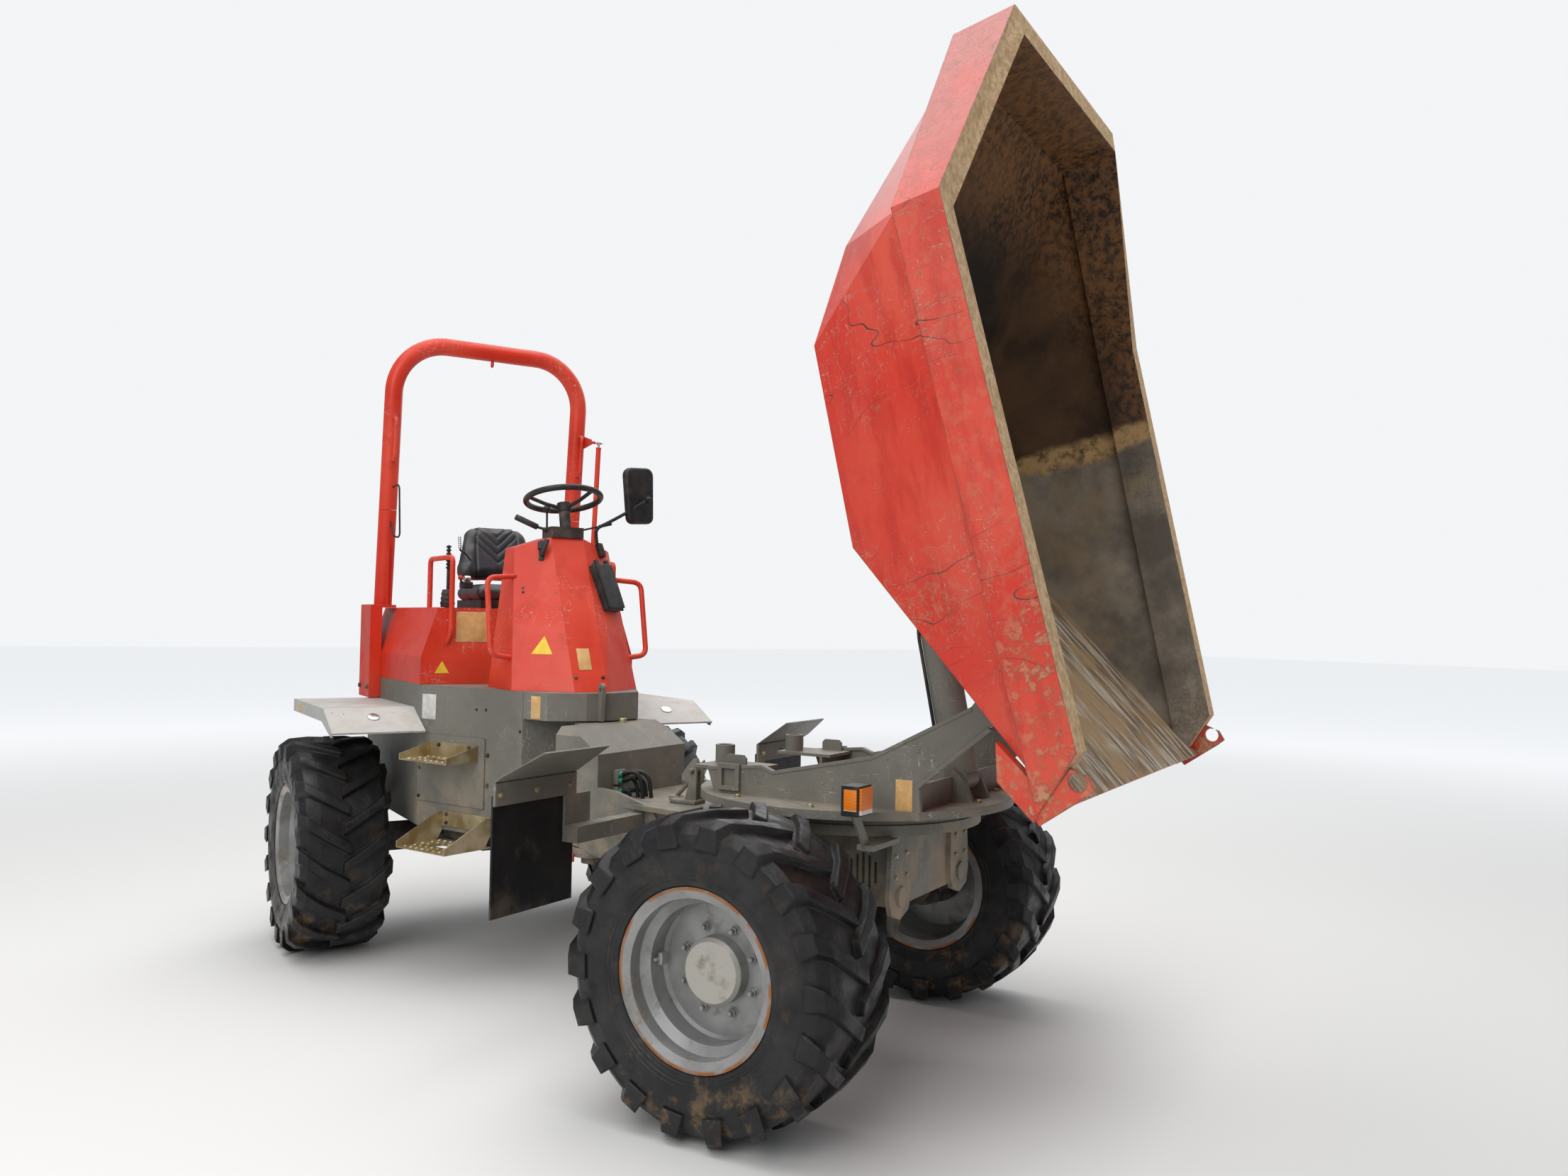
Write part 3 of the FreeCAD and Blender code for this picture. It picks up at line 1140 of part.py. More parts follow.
def skip_frame():
    """Rails and hinge ears under the floor, and the ears that take the ram's eye."""
    floor = -dim("floor_drop")
    inner_y = dim("arm_half") - dim("arm_thick") - 14
    shapes = []
    rail = Part.makeBox(dim("floor_front") - dim("floor_rear") + 60, 40, 45,
                        V(dim("floor_rear"), 302, floor - 45.3))
    tie = Part.makeBox(60, inner_y - 300, 45, V(dim("floor_front") - 60, 301, floor - 45.3))
    ear_points = [V(-50, inner_y - 26, -45), V(35, inner_y - 26, -48), V(60, inner_y - 26, 0),
                  V(20, inner_y - 26, 110),
                  V(-330, inner_y - 26, -92), V(-541, inner_y - 26, floor), V(-541, inner_y - 26, floor - 45.3)]
    ear = Part.Face(Part.makePolygon(ear_points + [ear_points[0]])).extrude(V(0, 26, 0))
    hole = Part.makeCylinder(dim("tip_pin_radius") + dim("bore_gap"), 90, V(0, inner_y - 50, 0), V(0, 1, 0))
    boss = Part.makeCylinder(dim("tip_boss") - 6, 26, V(0, inner_y - 26, 0), V(0, 1, 0))
    shapes.append(ear.fuse([boss, rail, tie]).cut(hole))
    eye_x = -dim("ram_eye_back")
    eye_z = dim("ram_z") - dim("tip_z")
    ear_y = dim("ram_radius") + dim("ear_gap")
    points = [V(eye_x - 110, ear_y, floor - 0.3), V(eye_x - 45, ear_y, eye_z - 20), V(eye_x, ear_y, eye_z - 45),
              V(eye_x + 45, ear_y, eye_z - 20), V(eye_x + 110, ear_y, floor - 0.3)]
    bracket = Part.Face(Part.makePolygon(points + [points[0]])).extrude(V(0, 16, 0))
    shapes.append(bracket.fuse(Part.makeCylinder(34, 24, V(eye_x, ear_y, eye_z), V(0, 1, 0))))
    whole = []
    for shape in shapes:
        for each in (shape, shape.mirror(V(), V(0, 1, 0))):
            whole.append(max(each.cut(tub).Solids, key=lambda solid: solid.Volume))
    return Part.makeCompound(whole)


piece("skip_tub", made(tub.cut(rim_frame)), skip_place)
piece("skip_rim", made(rim_frame), skip_place)
piece("skip_lugs", made(Part.makeCompound(skip_lugs())), skip_place)
piece("skip_frame", made(skip_frame()), skip_place)


# Checks and files

doc.recompute()
for thing in doc.Objects:
    if "Invalid" in thing.State or "Error" in thing.State:
        raise RuntimeError("%s failed: %s" % (thing.Label, thing.State))
os.makedirs("parts", exist_ok=True)
for part in pieces:
    if part.Shape.isNull() or not part.Shape.isValid() or not part.Shape.Solids:
        raise RuntimeError("%s has no sound solid" % part.Label)
    part.Shape.exportStep(os.path.join("parts", part.Label + ".step"))
    print("%-18s %2d solids %9.1f cm3" % (part.Label, len(part.Shape.Solids), part.Shape.Volume / 1000))
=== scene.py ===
# %% [markdown]
# # Dressing a site dumper
# The machine comes in as a frame of exact parts: hull, turntable, skip, wheels and rams. This lesson gives
# them the finish of a dumper that has worked for years, and adds the soft and small pieces, such as the seat,
# the lever's boot, the wheel nuts and the lamps. Nothing of the frame is moved.

# %% Load the frame
import json
import math
import bpy
from mathutils import Matrix, Vector

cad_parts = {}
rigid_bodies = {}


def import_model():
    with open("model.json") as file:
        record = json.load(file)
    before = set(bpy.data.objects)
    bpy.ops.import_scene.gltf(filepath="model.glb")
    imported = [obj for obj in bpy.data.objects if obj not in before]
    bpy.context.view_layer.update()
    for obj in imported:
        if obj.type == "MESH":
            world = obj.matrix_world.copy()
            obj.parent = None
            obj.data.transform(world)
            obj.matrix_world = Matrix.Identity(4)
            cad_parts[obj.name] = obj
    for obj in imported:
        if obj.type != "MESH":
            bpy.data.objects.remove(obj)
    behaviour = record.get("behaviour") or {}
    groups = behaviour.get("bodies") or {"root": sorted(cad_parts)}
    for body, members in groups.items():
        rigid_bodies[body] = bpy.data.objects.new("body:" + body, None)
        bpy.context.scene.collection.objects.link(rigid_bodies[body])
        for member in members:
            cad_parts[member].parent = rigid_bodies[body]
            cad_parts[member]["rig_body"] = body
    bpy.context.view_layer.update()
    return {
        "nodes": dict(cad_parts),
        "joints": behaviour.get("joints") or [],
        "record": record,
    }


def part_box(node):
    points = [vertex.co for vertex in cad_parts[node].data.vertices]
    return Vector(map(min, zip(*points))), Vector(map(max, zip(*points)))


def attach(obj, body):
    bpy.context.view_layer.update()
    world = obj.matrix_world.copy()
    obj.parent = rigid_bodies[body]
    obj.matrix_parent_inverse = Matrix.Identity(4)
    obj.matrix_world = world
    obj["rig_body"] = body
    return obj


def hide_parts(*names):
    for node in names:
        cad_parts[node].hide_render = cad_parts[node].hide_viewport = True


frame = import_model()
joints = {joint["name"]: joint for joint in frame["joints"]}
slot_of = {part["node"]: part["material_slot"] for part in frame["record"]["subparts"]}

# %% [markdown]
# The machine is parked bent in the middle with its skip tipped. It is easier to model a piece on a straight
# machine, so each unit gets a matrix that takes "straight ahead" coordinates to the parked pose. The joints
# say where the steering pin and the tipping pins are, and which way they point.

# %% One matrix for each unit
steering_pin = Vector(joints["articulation_steer"]["pos_m"])
tipping_pins = Vector(joints["skip_tip"]["pos_m"])
front_left = Vector(joints["skip_tip"]["axis"])
steer_angle = math.atan2(-front_left.x, front_left.y)
tip_angle = -math.radians(joints["skip_tip"]["range_deg"][0])
REAR = Matrix.Translation((steering_pin.x, steering_pin.y, 0))
FRONT = REAR @ Matrix.Rotation(steer_angle, 4, "Z")
SKIP = (Matrix.Translation(tipping_pins) @ Matrix.Rotation(steer_angle, 4, "Z")
        @ Matrix.Rotation(tip_angle, 4, "Y"))
CORNERS = {
    "rear_left": (REAR, 1), "rear_right": (REAR, -1), "front_left": (FRONT, 1), "front_right": (FRONT, -1),
}
print("steered", round(math.degrees(steer_angle), 1), "degrees, tipped", round(math.degrees(tip_angle), 1))

# %% [markdown]
# The camera stands where the photographer stood: at head height on the right, near the front wheel, looking
# a little up, with a slight roll. Its place and its lens were worked out from the wheels and the tyres' size.

# %% Camera
EYE = Vector((4.875, -2.060, 1.6045))
LOOK = Vector((-0.8507, 0.5257, 0)).normalized()
PITCH = 0.0299
ROLL = 0.0172
LENS = 27.51
SENSOR_WIDTH = 36
ahead = LOOK * math.cos(PITCH) + Vector((0, 0, 1)) * math.sin(PITCH)
level_right = ahead.cross(Vector((0, 0, 1))).normalized()
level_up = level_right.cross(ahead)
right = level_right * math.cos(ROLL) + level_up * math.sin(ROLL)
up = right.cross(ahead)
bpy.ops.object.camera_add()
camera = bpy.context.object
camera.data.lens = LENS
camera.data.sensor_width = SENSOR_WIDTH
turned = Matrix((right, up, -ahead)).transposed().to_4x4()
camera.matrix_world = Matrix.Translation(REAR @ EYE) @ turned
bpy.context.scene.camera = camera
bpy.context.scene.view_settings.view_transform = "Standard"
print("camera at", [round(value, 2) for value in camera.location])

# %% [markdown]
# The floor is pale and plain. Far from the lights it would turn dark, so to the camera alone it glows a
# little more with distance and runs into the backdrop. The glow gives no light to the machine.

# %% Floor
FLOOR_TONE = (0.72, 0.71, 0.69, 1)
GLOW_TONE = (0.95, 0.97, 1.0, 1)
GLOW_RANGE = {"From Min": 4.0, "From Max": 15.0, "To Min": 0.0, "To Max": 0.60}
bpy.ops.mesh.primitive_plane_add(size=120)
floor = bpy.context.object
floor.name = "studio_floor"
floor_paint = bpy.data.materials.new("floor")
floor_paint.use_nodes = True
floor_nodes = floor_paint.node_tree.nodes
floor_links = floor_paint.node_tree.links
floor_shader = floor_nodes["Principled BSDF"]
floor_shader.inputs["Base Color"].default_value = FLOOR_TONE
floor_shader.inputs["Roughness"].default_value = 0.9
floor_shader.inputs["Emission Color"].default_value = GLOW_TONE
floor_place = floor_nodes.new("ShaderNodeTexCoord")
floor_reach = floor_nodes.new("ShaderNodeVectorMath")
floor_reach.operation = "LENGTH"
floor_glow = floor_nodes.new("ShaderNodeMapRange")
floor_glow.interpolation_type = "SMOOTHSTEP"
for key, value in GLOW_RANGE.items():
    floor_glow.inputs[key].default_value = value
floor_rays = floor_nodes.new("ShaderNodeLightPath")
floor_seen = floor_nodes.new("ShaderNodeMath")
floor_seen.operation = "MULTIPLY"
floor_links.new(floor_place.outputs["Object"], floor_reach.inputs[0])
floor_links.new(floor_reach.outputs["Value"], floor_glow.inputs["Value"])
floor_links.new(floor_glow.outputs["Result"], floor_seen.inputs[0])
floor_links.new(floor_rays.outputs["Is Camera Ray"], floor_seen.inputs[1])
floor_links.new(floor_seen.outputs[0], floor_shader.inputs["Emission Strength"])
floor.data.materials.append(floor_paint)
print("floor", [round(part) for part in floor.dimensions])

# %% [markdown]
# An overcast sky is the softest studio light there is. The world gives most of it, and shows the camera a
# plain pale backdrop instead. One large panel hangs above, and one in front and one behind keep some shape in
# the folds of the plates.

# %% Sky and panels
SKY_TONE = (0.86, 0.90, 0.95, 1)
SKY_STRENGTH = 0.42
BACKDROP_TONE = (0.90, 0.91, 0.92, 1)
world = bpy.data.worlds.new("overcast")
world.use_nodes = True
bpy.context.scene.world = world
world_nodes = world.node_tree.nodes
world_links = world.node_tree.links
sky = world_nodes["Background"]
sky.inputs["Color"].default_value = SKY_TONE
sky.inputs["Strength"].default_value = SKY_STRENGTH
backdrop = world_nodes.new("ShaderNodeBackground")
backdrop.inputs["Color"].default_value = BACKDROP_TONE
rays = world_nodes.new("ShaderNodeLightPath")
choose = world_nodes.new("ShaderNodeMixShader")
world_links.new(rays.outputs["Is Camera Ray"], choose.inputs[0])
world_links.new(sky.outputs[0], choose.inputs[1])
world_links.new(backdrop.outputs[0], choose.inputs[2])
world_links.new(choose.outputs[0], world_nodes["World Output"].inputs["Surface"])


def add_panel(name, at, target, size, power):
    """A square soft light that faces a point."""
    bpy.ops.object.light_add(type="AREA", location=at)
    panel = bpy.context.object
    panel.name = name
    panel.data.size = size
    panel.data.energy = power
    panel.rotation_euler = (Vector(target) - Vector(at)).to_track_quat("-Z", "Y").to_euler()


add_panel("sky_panel", (-0.5, -0.5, 9.5), (0, 0, 0), 11.0, 900)
add_panel("front_panel", (4.5, -6.5, 5.5), (0, 0, 1.0), 6.0, 330)
add_panel("back_panel", (-5.0, 5.0, 6.0), (0, 0, 1.5), 6.0, 150)
print("sky at", SKY_STRENGTH, "and three panels")

# %% [markdown]
# ## Finishes
# Every finish is a small graph of nodes. The same few moves come back in all of them: read the piece's own
# coordinates, make noise, cut a band out of it, and mix two colours by it. A helper class gives each move a
# short name, so that a finish reads like a recipe.

# %% A short way to write node graphs


class Recipe:
    """A Principled material whose nodes are added by short calls that return sockets."""

    def __init__(self, name, roughness=0.5, metallic=0.0):
        self.material = bpy.data.materials.new(name)
        self.material.use_nodes = True
        self.tree = self.material.node_tree
        self.shader = self.tree.nodes["Principled BSDF"]
        self.shader.inputs["Roughness"].default_value = roughness
        self.shader.inputs["Metallic"].default_value = metallic
        self.shader.inputs["Specular IOR Level"].default_value = 0.35
        self.coordinates = self.tree.nodes.new("ShaderNodeTexCoord")
        self.place = self.coordinates.outputs["Object"]

    def node(self, kind, inputs, **settings):
        """Adds a node, links or sets its inputs by number or name, and returns it."""
        added = self.tree.nodes.new(kind)
        for key, value in settings.items():
            setattr(added, key, value)
        for key, value in inputs.items():
            if isinstance(value, bpy.types.NodeSocket):
                self.tree.links.new(value, added.inputs[key])
            else:
                added.inputs[key].default_value = value
        return added

    def within(self, unit):
        """The point in the coordinates of a unit, so that a pattern lies along the unit."""
        where = unit.to_translation()
        turn = unit.to_euler()
        moved = self.node("ShaderNodeMapping", {0: self.place, 1: where, 2: turn}, vector_type="TEXTURE")
        return moved.outputs[0]

    def stretch(self, point, scale):
        return self.node("ShaderNodeVectorMath", {0: point, 1: scale}, operation="MULTIPLY").outputs[0]

    def axis(self, point, letter):
        return self.node("ShaderNodeSeparateXYZ", {0: point}).outputs["XYZ".index(letter)]

    def facing_up(self, unit):
        """How much the surface faces up, as the unit has it: the skip's own up leans with the skip."""
        way = unit.to_3x3() @ Vector((0, 0, 1))
        return self.dot(self.coordinates.outputs["Normal"], way.normalized())

    def dot(self, first, second):
        made = self.node("ShaderNodeVectorMath", {0: first, 1: second}, operation="DOT_PRODUCT")
        return made.outputs["Value"]

    def noise(self, scale, detail=4.0, rough=0.55, point=None):
        inputs = {"Vector": point or self.place, "Scale": scale, "Detail": detail, "Roughness": rough}
        return self.node("ShaderNodeTexNoise", inputs).outputs["Fac"]

    def patch(self, low, high, *noise):
        """Patches of noise: a band of it, with the noise's own numbers last."""
        return self.band(self.noise(*noise), low, high)

    def band(self, value, low, high):
        """0 below low, 1 above high, smooth between, or the other way round where low is above high."""
        made = self.node("ShaderNodeMapRange", {0: value, 1: low, 2: high}, interpolation_type="SMOOTHSTEP")
        return made.outputs[0]

    def line(self, value, middle, width):
        """1 on a thin contour of the value."""
        off = self.less(value, middle)
        return self.band(self.maths("ABSOLUTE", off, 0.0), width, width * 0.35)

    def maths(self, operation, first, second):
        return self.node("ShaderNodeMath", {0: first, 1: second}, operation=operation).outputs[0]

    def plus(self, first, second):
        return self.maths("ADD", first, second)

    def less(self, first, second):
        return self.maths("SUBTRACT", first, second)

    def most(self, first, second):
        return self.maths("MAXIMUM", first, second)

    def both(self, *values):
        result = values[0]
        for value in values[1:]:
            result = self.maths("MULTIPLY", result, value)
        return result

    def mix(self, amount, first, second):
        made = self.node("ShaderNodeMix", {0: amount}, data_type="RGBA")
        for key, colour in ((6, first), (7, second)):
            if isinstance(colour, bpy.types.NodeSocket):
                self.tree.links.new(colour, made.inputs[key])
            else:
                made.inputs[key].default_value = (*colour, 1)
        return made.outputs[2]

    def edges(self, radius, low, high):
        """1 along the piece's sharp edges."""
        round_normal = self.node("ShaderNodeBevel", {0: radius}, samples=6).outputs[0]
        flat = self.tree.nodes.new("ShaderNodeNewGeometry").outputs["True Normal"]
        return self.band(self.dot(round_normal, flat), high, low)

    def colour(self, socket):
        self.tree.links.new(socket, self.shader.inputs["Base Color"])

    def rough(self, value, low, high):
        made = self.node("ShaderNodeMapRange", {0: value, 3: low, 4: high})
        self.tree.links.new(made.outputs[0], self.shader.inputs["Roughness"])

    def bump(self, height, distance, strength=1.0, soften=0.0):
        inputs = {"Height": height, "Distance": distance, "Strength": strength}
        if soften:
            inputs["Normal"] = self.node("ShaderNodeBevel", {0: soften}, samples=4).outputs[0]
        made = self.node("ShaderNodeBump", inputs)
        self.tree.links.new(made.outputs[0], self.shader.inputs["Normal"])


# %% [markdown]
# Paint on a building machine fades in the sun, chips at its edges, is scratched by branches and gloves, and
# carries dust where it faces up and splashes where it is low. One recipe with a few numbers covers the
# orange-red bodywork and the grey hull. Scratches are thin contours of a stretched noise.

# %% Worn paint
DUST = (0.40, 0.31, 0.21)
BARE = (0.13, 0.10, 0.08)


def worn_paint(name, fresh, faded, unit, wear=1.0, splash_top=1.1, gloss=0.32):
    paint = Recipe(name, gloss)
    point = paint.within(unit)
    tone = paint.mix(paint.patch(0.35, 0.70, 1.7, 5), fresh, faded)
    dark = tuple(0.72 * part for part in fresh)
    tone = paint.mix(paint.both(paint.patch(0.5, 0.72, 9.0, 6), 0.35), tone, dark)
    # scratches along and across
    long_noise = paint.noise(2.6, 3, 0.4, paint.stretch(point, (2.0, 3.0, 11.0)))
    cross_noise = paint.noise(3.1, 3, 0.4, paint.stretch(point, (9.0, 7.0, 1.6)))
    patches = paint.patch(0.46, 0.60, 3.3, 2)
    scratch = paint.most(paint.line(long_noise, 0.5, 0.0035), paint.line(cross_noise, 0.52, 0.003))
    scratch = paint.both(scratch, patches, 0.75 * wear)
    tone = paint.mix(scratch, tone, tuple(min(1, 0.35 + 0.75 * part) for part in faded))
    # bare metal along the edges and in small spots
    chips = paint.both(paint.edges(0.006, 0.90, 0.985), paint.patch(0.53, 0.60, 26, 5), wear)
    spots = paint.both(paint.patch(0.685, 0.70, 48, 3), patches, wear)
    chips = paint.most(chips, spots)
    tone = paint.mix(chips, tone, BARE)
    # splashes up to a height, and dust on what faces up
    height = paint.axis(paint.place, "Z")
    splash = paint.both(paint.band(height, splash_top, splash_top - 0.75),
                        paint.patch(0.42, 0.66, 5.5, 9, 0.68))
    shelf = paint.both(paint.band(paint.facing_up(REAR), 0.55, 0.95), paint.patch(0.44, 0.72, 7, 8, 0.6))
    dirt = paint.most(paint.both(splash, 0.85), paint.both(shelf, 0.40))
    tone = paint.mix(dirt, tone, DUST)
    paint.colour(tone)
    paint.rough(paint.most(dirt, paint.both(patches, 0.35)), gloss, 0.86)
    relief = paint.less(paint.both(paint.noise(120, 2), 0.12), paint.plus(chips, scratch))
    paint.bump(paint.plus(relief, paint.both(dirt, paint.noise(160, 3), 0.7)), 0.0012, 0.6, 0.0025)
    return paint.material


RED = (0.60, 0.032, 0.012)
FADED_RED = (0.70, 0.075, 0.038)
GREY = (0.147, 0.141, 0.118)
FADED_GREY = (0.200, 0.191, 0.164)
red_paint = worn_paint("red_paint_rear", RED, FADED_RED, REAR)
grey_rear = worn_paint("grey_paint_rear", GREY, FADED_GREY, REAR, 0.8, 1.15, 0.45)
grey_front = worn_paint("grey_paint_front", GREY, FADED_GREY, FRONT, 0.8, 1.25, 0.45)
fender_paint = worn_paint("fender_paint", (0.44, 0.435, 0.405), (0.54, 0.53, 0.50), REAR, 0.7, 1.0, 0.40)
print("worn paints:", red_paint.name, grey_rear.name, grey_front.name, fender_paint.name)

# %% [markdown]
# The skip is the part that works hardest. Outside, its red is scraped by soil and marked with dry splashes.
# The back is paler: a painted reflection of the bright sky on its upper panel. The same recipe serves the
# plates, the rim and the lugs, with more or less sand stuck on.

# %% Skip, outside
SAND = (0.43, 0.31, 0.17)


def skip_outside(name, sandy=0.0):
    """Scraped red, with as much sandy crust as the piece has. Returns what the three finishes share."""
    skin = Recipe(name, 0.4)
    point = skin.within(SKIP)
    tone = skin.mix(skin.patch(0.36, 0.68, 1.4, 6), (0.60, 0.035, 0.018), (0.66, 0.085, 0.050))
    # painted shade: streaks of darker red stand in for the shade that falls in the plates' dents
    painted_dent_shade = skin.band(skin.noise(6.0, 8, 0.65, skin.stretch(point, (0.6, 1.0, 2.4))), 0.46, 0.62)
    tone = skin.mix(skin.both(painted_dent_shade, 0.45), tone, (0.43, 0.020, 0.012))
    fine = skin.noise(4.5, 4, 0.5, skin.stretch(point, (1.2, 6.0, 9.0)))
    cross = skin.noise(3.5, 4, 0.5, skin.stretch(point, (8.0, 3.0, 1.5)))
    patches = skin.patch(0.43, 0.56, 2.2, 3)
    scratch = skin.most(skin.line(fine, 0.5, 0.006), skin.line(cross, 0.47, 0.005))
    scratch = skin.both(scratch, patches, 0.6)
    tone = skin.mix(scratch, tone, (0.72, 0.36, 0.27))
    deep = skin.noise(1.9, 2, 0.3, skin.stretch(point, (4, 2, 1)))
    gouge = skin.both(skin.line(deep, 0.52, 0.003), patches)
    tone = skin.mix(gouge, tone, (0.05, 0.035, 0.03))
    # painted reflection: a pale pink towards the back stands in for the bright overcast sky reflected in the
    # upper panel
    painted_sky_reflection = skin.both(skin.band(skin.axis(point, "X"), -1.30, -1.70), skin.patch(0.20, 0.55, 2.0, 6), 0.72)
    tone = skin.mix(painted_sky_reflection, tone, (0.37, 0.136, 0.120))
    mud = skin.band(skin.noise(7.0, 10, 0.72), 0.64 - 0.10 * sandy, 0.74 - 0.09 * sandy)
    low = skin.both(skin.band(skin.axis(point, "X"), -0.75, 0.10), skin.patch(0.42, 0.66, 1.6, 3))
    rub = skin.both(skin.patch(0.47, 0.60, 30, 8, 0.7), skin.most(low, sandy), 0.75)
    mud = skin.most(skin.both(mud, 0.55 + 0.4 * sandy), rub)
    tone = skin.mix(mud, tone, SAND)
    worn = skin.both(skin.edges(0.008, 0.90, 0.985), skin.patch(0.45, 0.58, 18, 6))
    tone = skin.mix(worn, tone, (0.16, 0.09, 0.06))
    return skin, point, tone, skin.plus(mud, skin.both(scratch, -0.8)), mud


def lug_finish():
    skin, point, tone, relief, mud = skip_outside("skip_lugs", 0.5)
    skin.colour(tone)
    skin.rough(mud, 0.4, 0.95)
    skin.bump(relief, 0.003, 0.7, 0.003)
    return skin.material


lug_paint = lug_finish()
print("outside of the skip:", lug_paint.name)

# %% [markdown]
# Inside, rain and rock have left brown rust, and orange near the rim; the bowl is darker still with painted
# shade. Past the line where sand sticks, the steel is rubbed grey, and the pour plate is bare and streaked.
# The tones change with the place along the skip, so they come from the point in the skip's own coordinates.

# %% Skip, inside
SAND_LINE = -0.74


def skip_inside(skin, point):
    """Rusty bowl darkened with painted shade, dark dented sides and a bare streaked pour plate."""
    # brown rust, its darkest tone painted near black as the shade in the bowl
    tone = skin.mix(skin.patch(0.40, 0.62, 1.5, 8, 0.6), (0.018, 0.0105, 0.006), (0.098, 0.048, 0.020))
    near_rim = skin.plus(skin.axis(point, "Z"), skin.both(skin.axis(point, "X"), -0.22))
    orange = skin.both(skin.band(near_rim, 0.38, 0.72), skin.patch(0.38, 0.60, 34, 8, 0.75))
    tone = skin.mix(skin.both(orange, 0.80), tone, (0.25, 0.110, 0.036))
    wobble = skin.both(skin.noise(2.4, 5), 0.26)
    along = skin.plus(skin.plus(skin.axis(point, "X"), wobble), skin.both(skin.axis(point, "Y"), 0.15))
    steel = skin.band(along, SAND_LINE - 0.015, SAND_LINE + 0.035)
    metal = skin.mix(skin.patch(0.38, 0.68, 3.2, 8, 0.6), (0.115, 0.098, 0.078), (0.300, 0.250, 0.190))
    stain = skin.both(skin.patch(0.50, 0.66, 2.2, 7, 0.65), 0.55)
    metal = skin.mix(stain, metal, (0.280, 0.190, 0.100))
    tone = skin.mix(skin.both(steel, 0.92), tone, metal)
    crust = skin.both(skin.line(along, SAND_LINE, 0.060), skin.patch(0.30, 0.52, 22, 6, 0.7))
    tone = skin.mix(crust, tone, (0.44, 0.270, 0.115))
    front = skin.band(skin.axis(point, "X"), -0.56, -0.52)
    pour = skin.both(skin.band(skin.facing_up(SKIP), 0.55, 0.75), front)
    streaks = skin.noise(14.0, 7, 0.62, skin.stretch(point, (0.28, 2.2, 0.3)))
    bare = skin.mix(skin.band(streaks, 0.44, 0.60), (0.19, 0.120, 0.062), (0.56, 0.49, 0.40))
    bare = skin.mix(skin.patch(0.44, 0.66, 5.0, 6, 0.6), bare, (0.38, 0.245, 0.125))
    return skin.mix(pour, tone, bare), crust, pour


print("sand sticks", SAND_LINE, "m along the skip")

# %% [markdown]
# The plates are one part with one finish, so it asks each point whether it faces the middle of the load
# space, and takes the rusty colours there and the red ones elsewhere. The rim does the same, under a crust
# of sand on its top.

# %% Skip, put together
BOWL = Vector((-0.90, 0.0, 0.20))


def on_outside(skin, blend):
    """1 outside the skip, 0 where the surface looks to the middle of the load space."""
    away = skin.node("ShaderNodeVectorMath", {0: skin.place, 1: SKIP @ BOWL}, operation="SUBTRACT").outputs[0]
    return skin.band(skin.dot(skin.coordinates.outputs["Normal"], away), -blend, blend)


def skip_plates():
    skin, point, outside, relief, mud = skip_outside("skip_plates")
    inside, crust, pour = skip_inside(skin, point)
    outer = on_outside(skin, 0.01)
    inner = skin.less(1.0, outer)
    skin.colour(skin.mix(outer, inside, outside))
    inner_rough = skin.less(0.85, skin.both(pour, 0.35))
    skin.rough(skin.most(skin.both(outer, mud), skin.both(inner, inner_rough)), 0.34, 0.92)
    dents = skin.both(skin.noise(2.6, 3, 0.45), 7.0)
    rusty = skin.plus(skin.both(skin.noise(45, 8, 0.7), 1.5), skin.plus(dents, skin.both(crust, 3.0)))
    skin.bump(skin.plus(skin.both(outer, relief), skin.both(inner, rusty)), 0.004, 0.7, 0.004)
    return skin.material


def skip_rim_finish():
    skin, point, outside, relief, mud = skip_outside("skip_rim", 0.18)
    inside = skip_inside(skin, point)[0]
    tone = skin.mix(on_outside(skin, 0.02), inside, outside)
    crusted = skin.band(skin.facing_up(SKIP), 0.5, 0.8)
    grain = skin.noise(38, 9, 0.75)
    sand = skin.mix(skin.band(grain, 0.35, 0.65), (0.58, 0.365, 0.180), (0.92, 0.650, 0.390))
    show = skin.both(crusted, skin.patch(0.16, 0.32, 9, 6, 0.7))
    skin.colour(skin.mix(show, tone, sand))
    skin.rough(skin.most(show, mud), 0.42, 0.95)
    skin.bump(skin.plus(skin.both(show, grain, 5.0), relief), 0.004, 0.8, 0.006)
    return skin.material


skip_finishes = {
    "skip_tub": skip_plates(), "skip_rim": skip_rim_finish(), "skip_lugs": lug_paint, "skip_frame": lug_paint,
}
print("skip finishes:", [material.name for material in skip_finishes.values()])

# %% [markdown]
# Tyre rubber is never one black. The lugs' tops are scuffed and damp, the grooves hold brown mud, and the
# side walls have a grey bloom. The pattern follows the distance from the wheel's own axle, so each wheel has
# its own material, made by the same recipe.

# %% Tyres


def wheel_unit(corner):
    """A wheel's centre, with y along its axle and pointing outwards."""
    unit, side = CORNERS[corner]
    centre = Vector(joints["wheel_%s_spin" % corner]["pos_m"])
    turn = unit.to_3x3().to_4x4() @ Matrix.Rotation(0 if side > 0 else math.pi, 4, "Z")
    return Matrix.Translation(centre) @ turn


def reach_from_axle(recipe, point):
    """How far a point of a wheel is from its axle."""
    flat = recipe.stretch(point, (1, 0, 1))
    return recipe.node("ShaderNodeVectorMath", {0: flat}, operation="LENGTH").outputs["Value"]


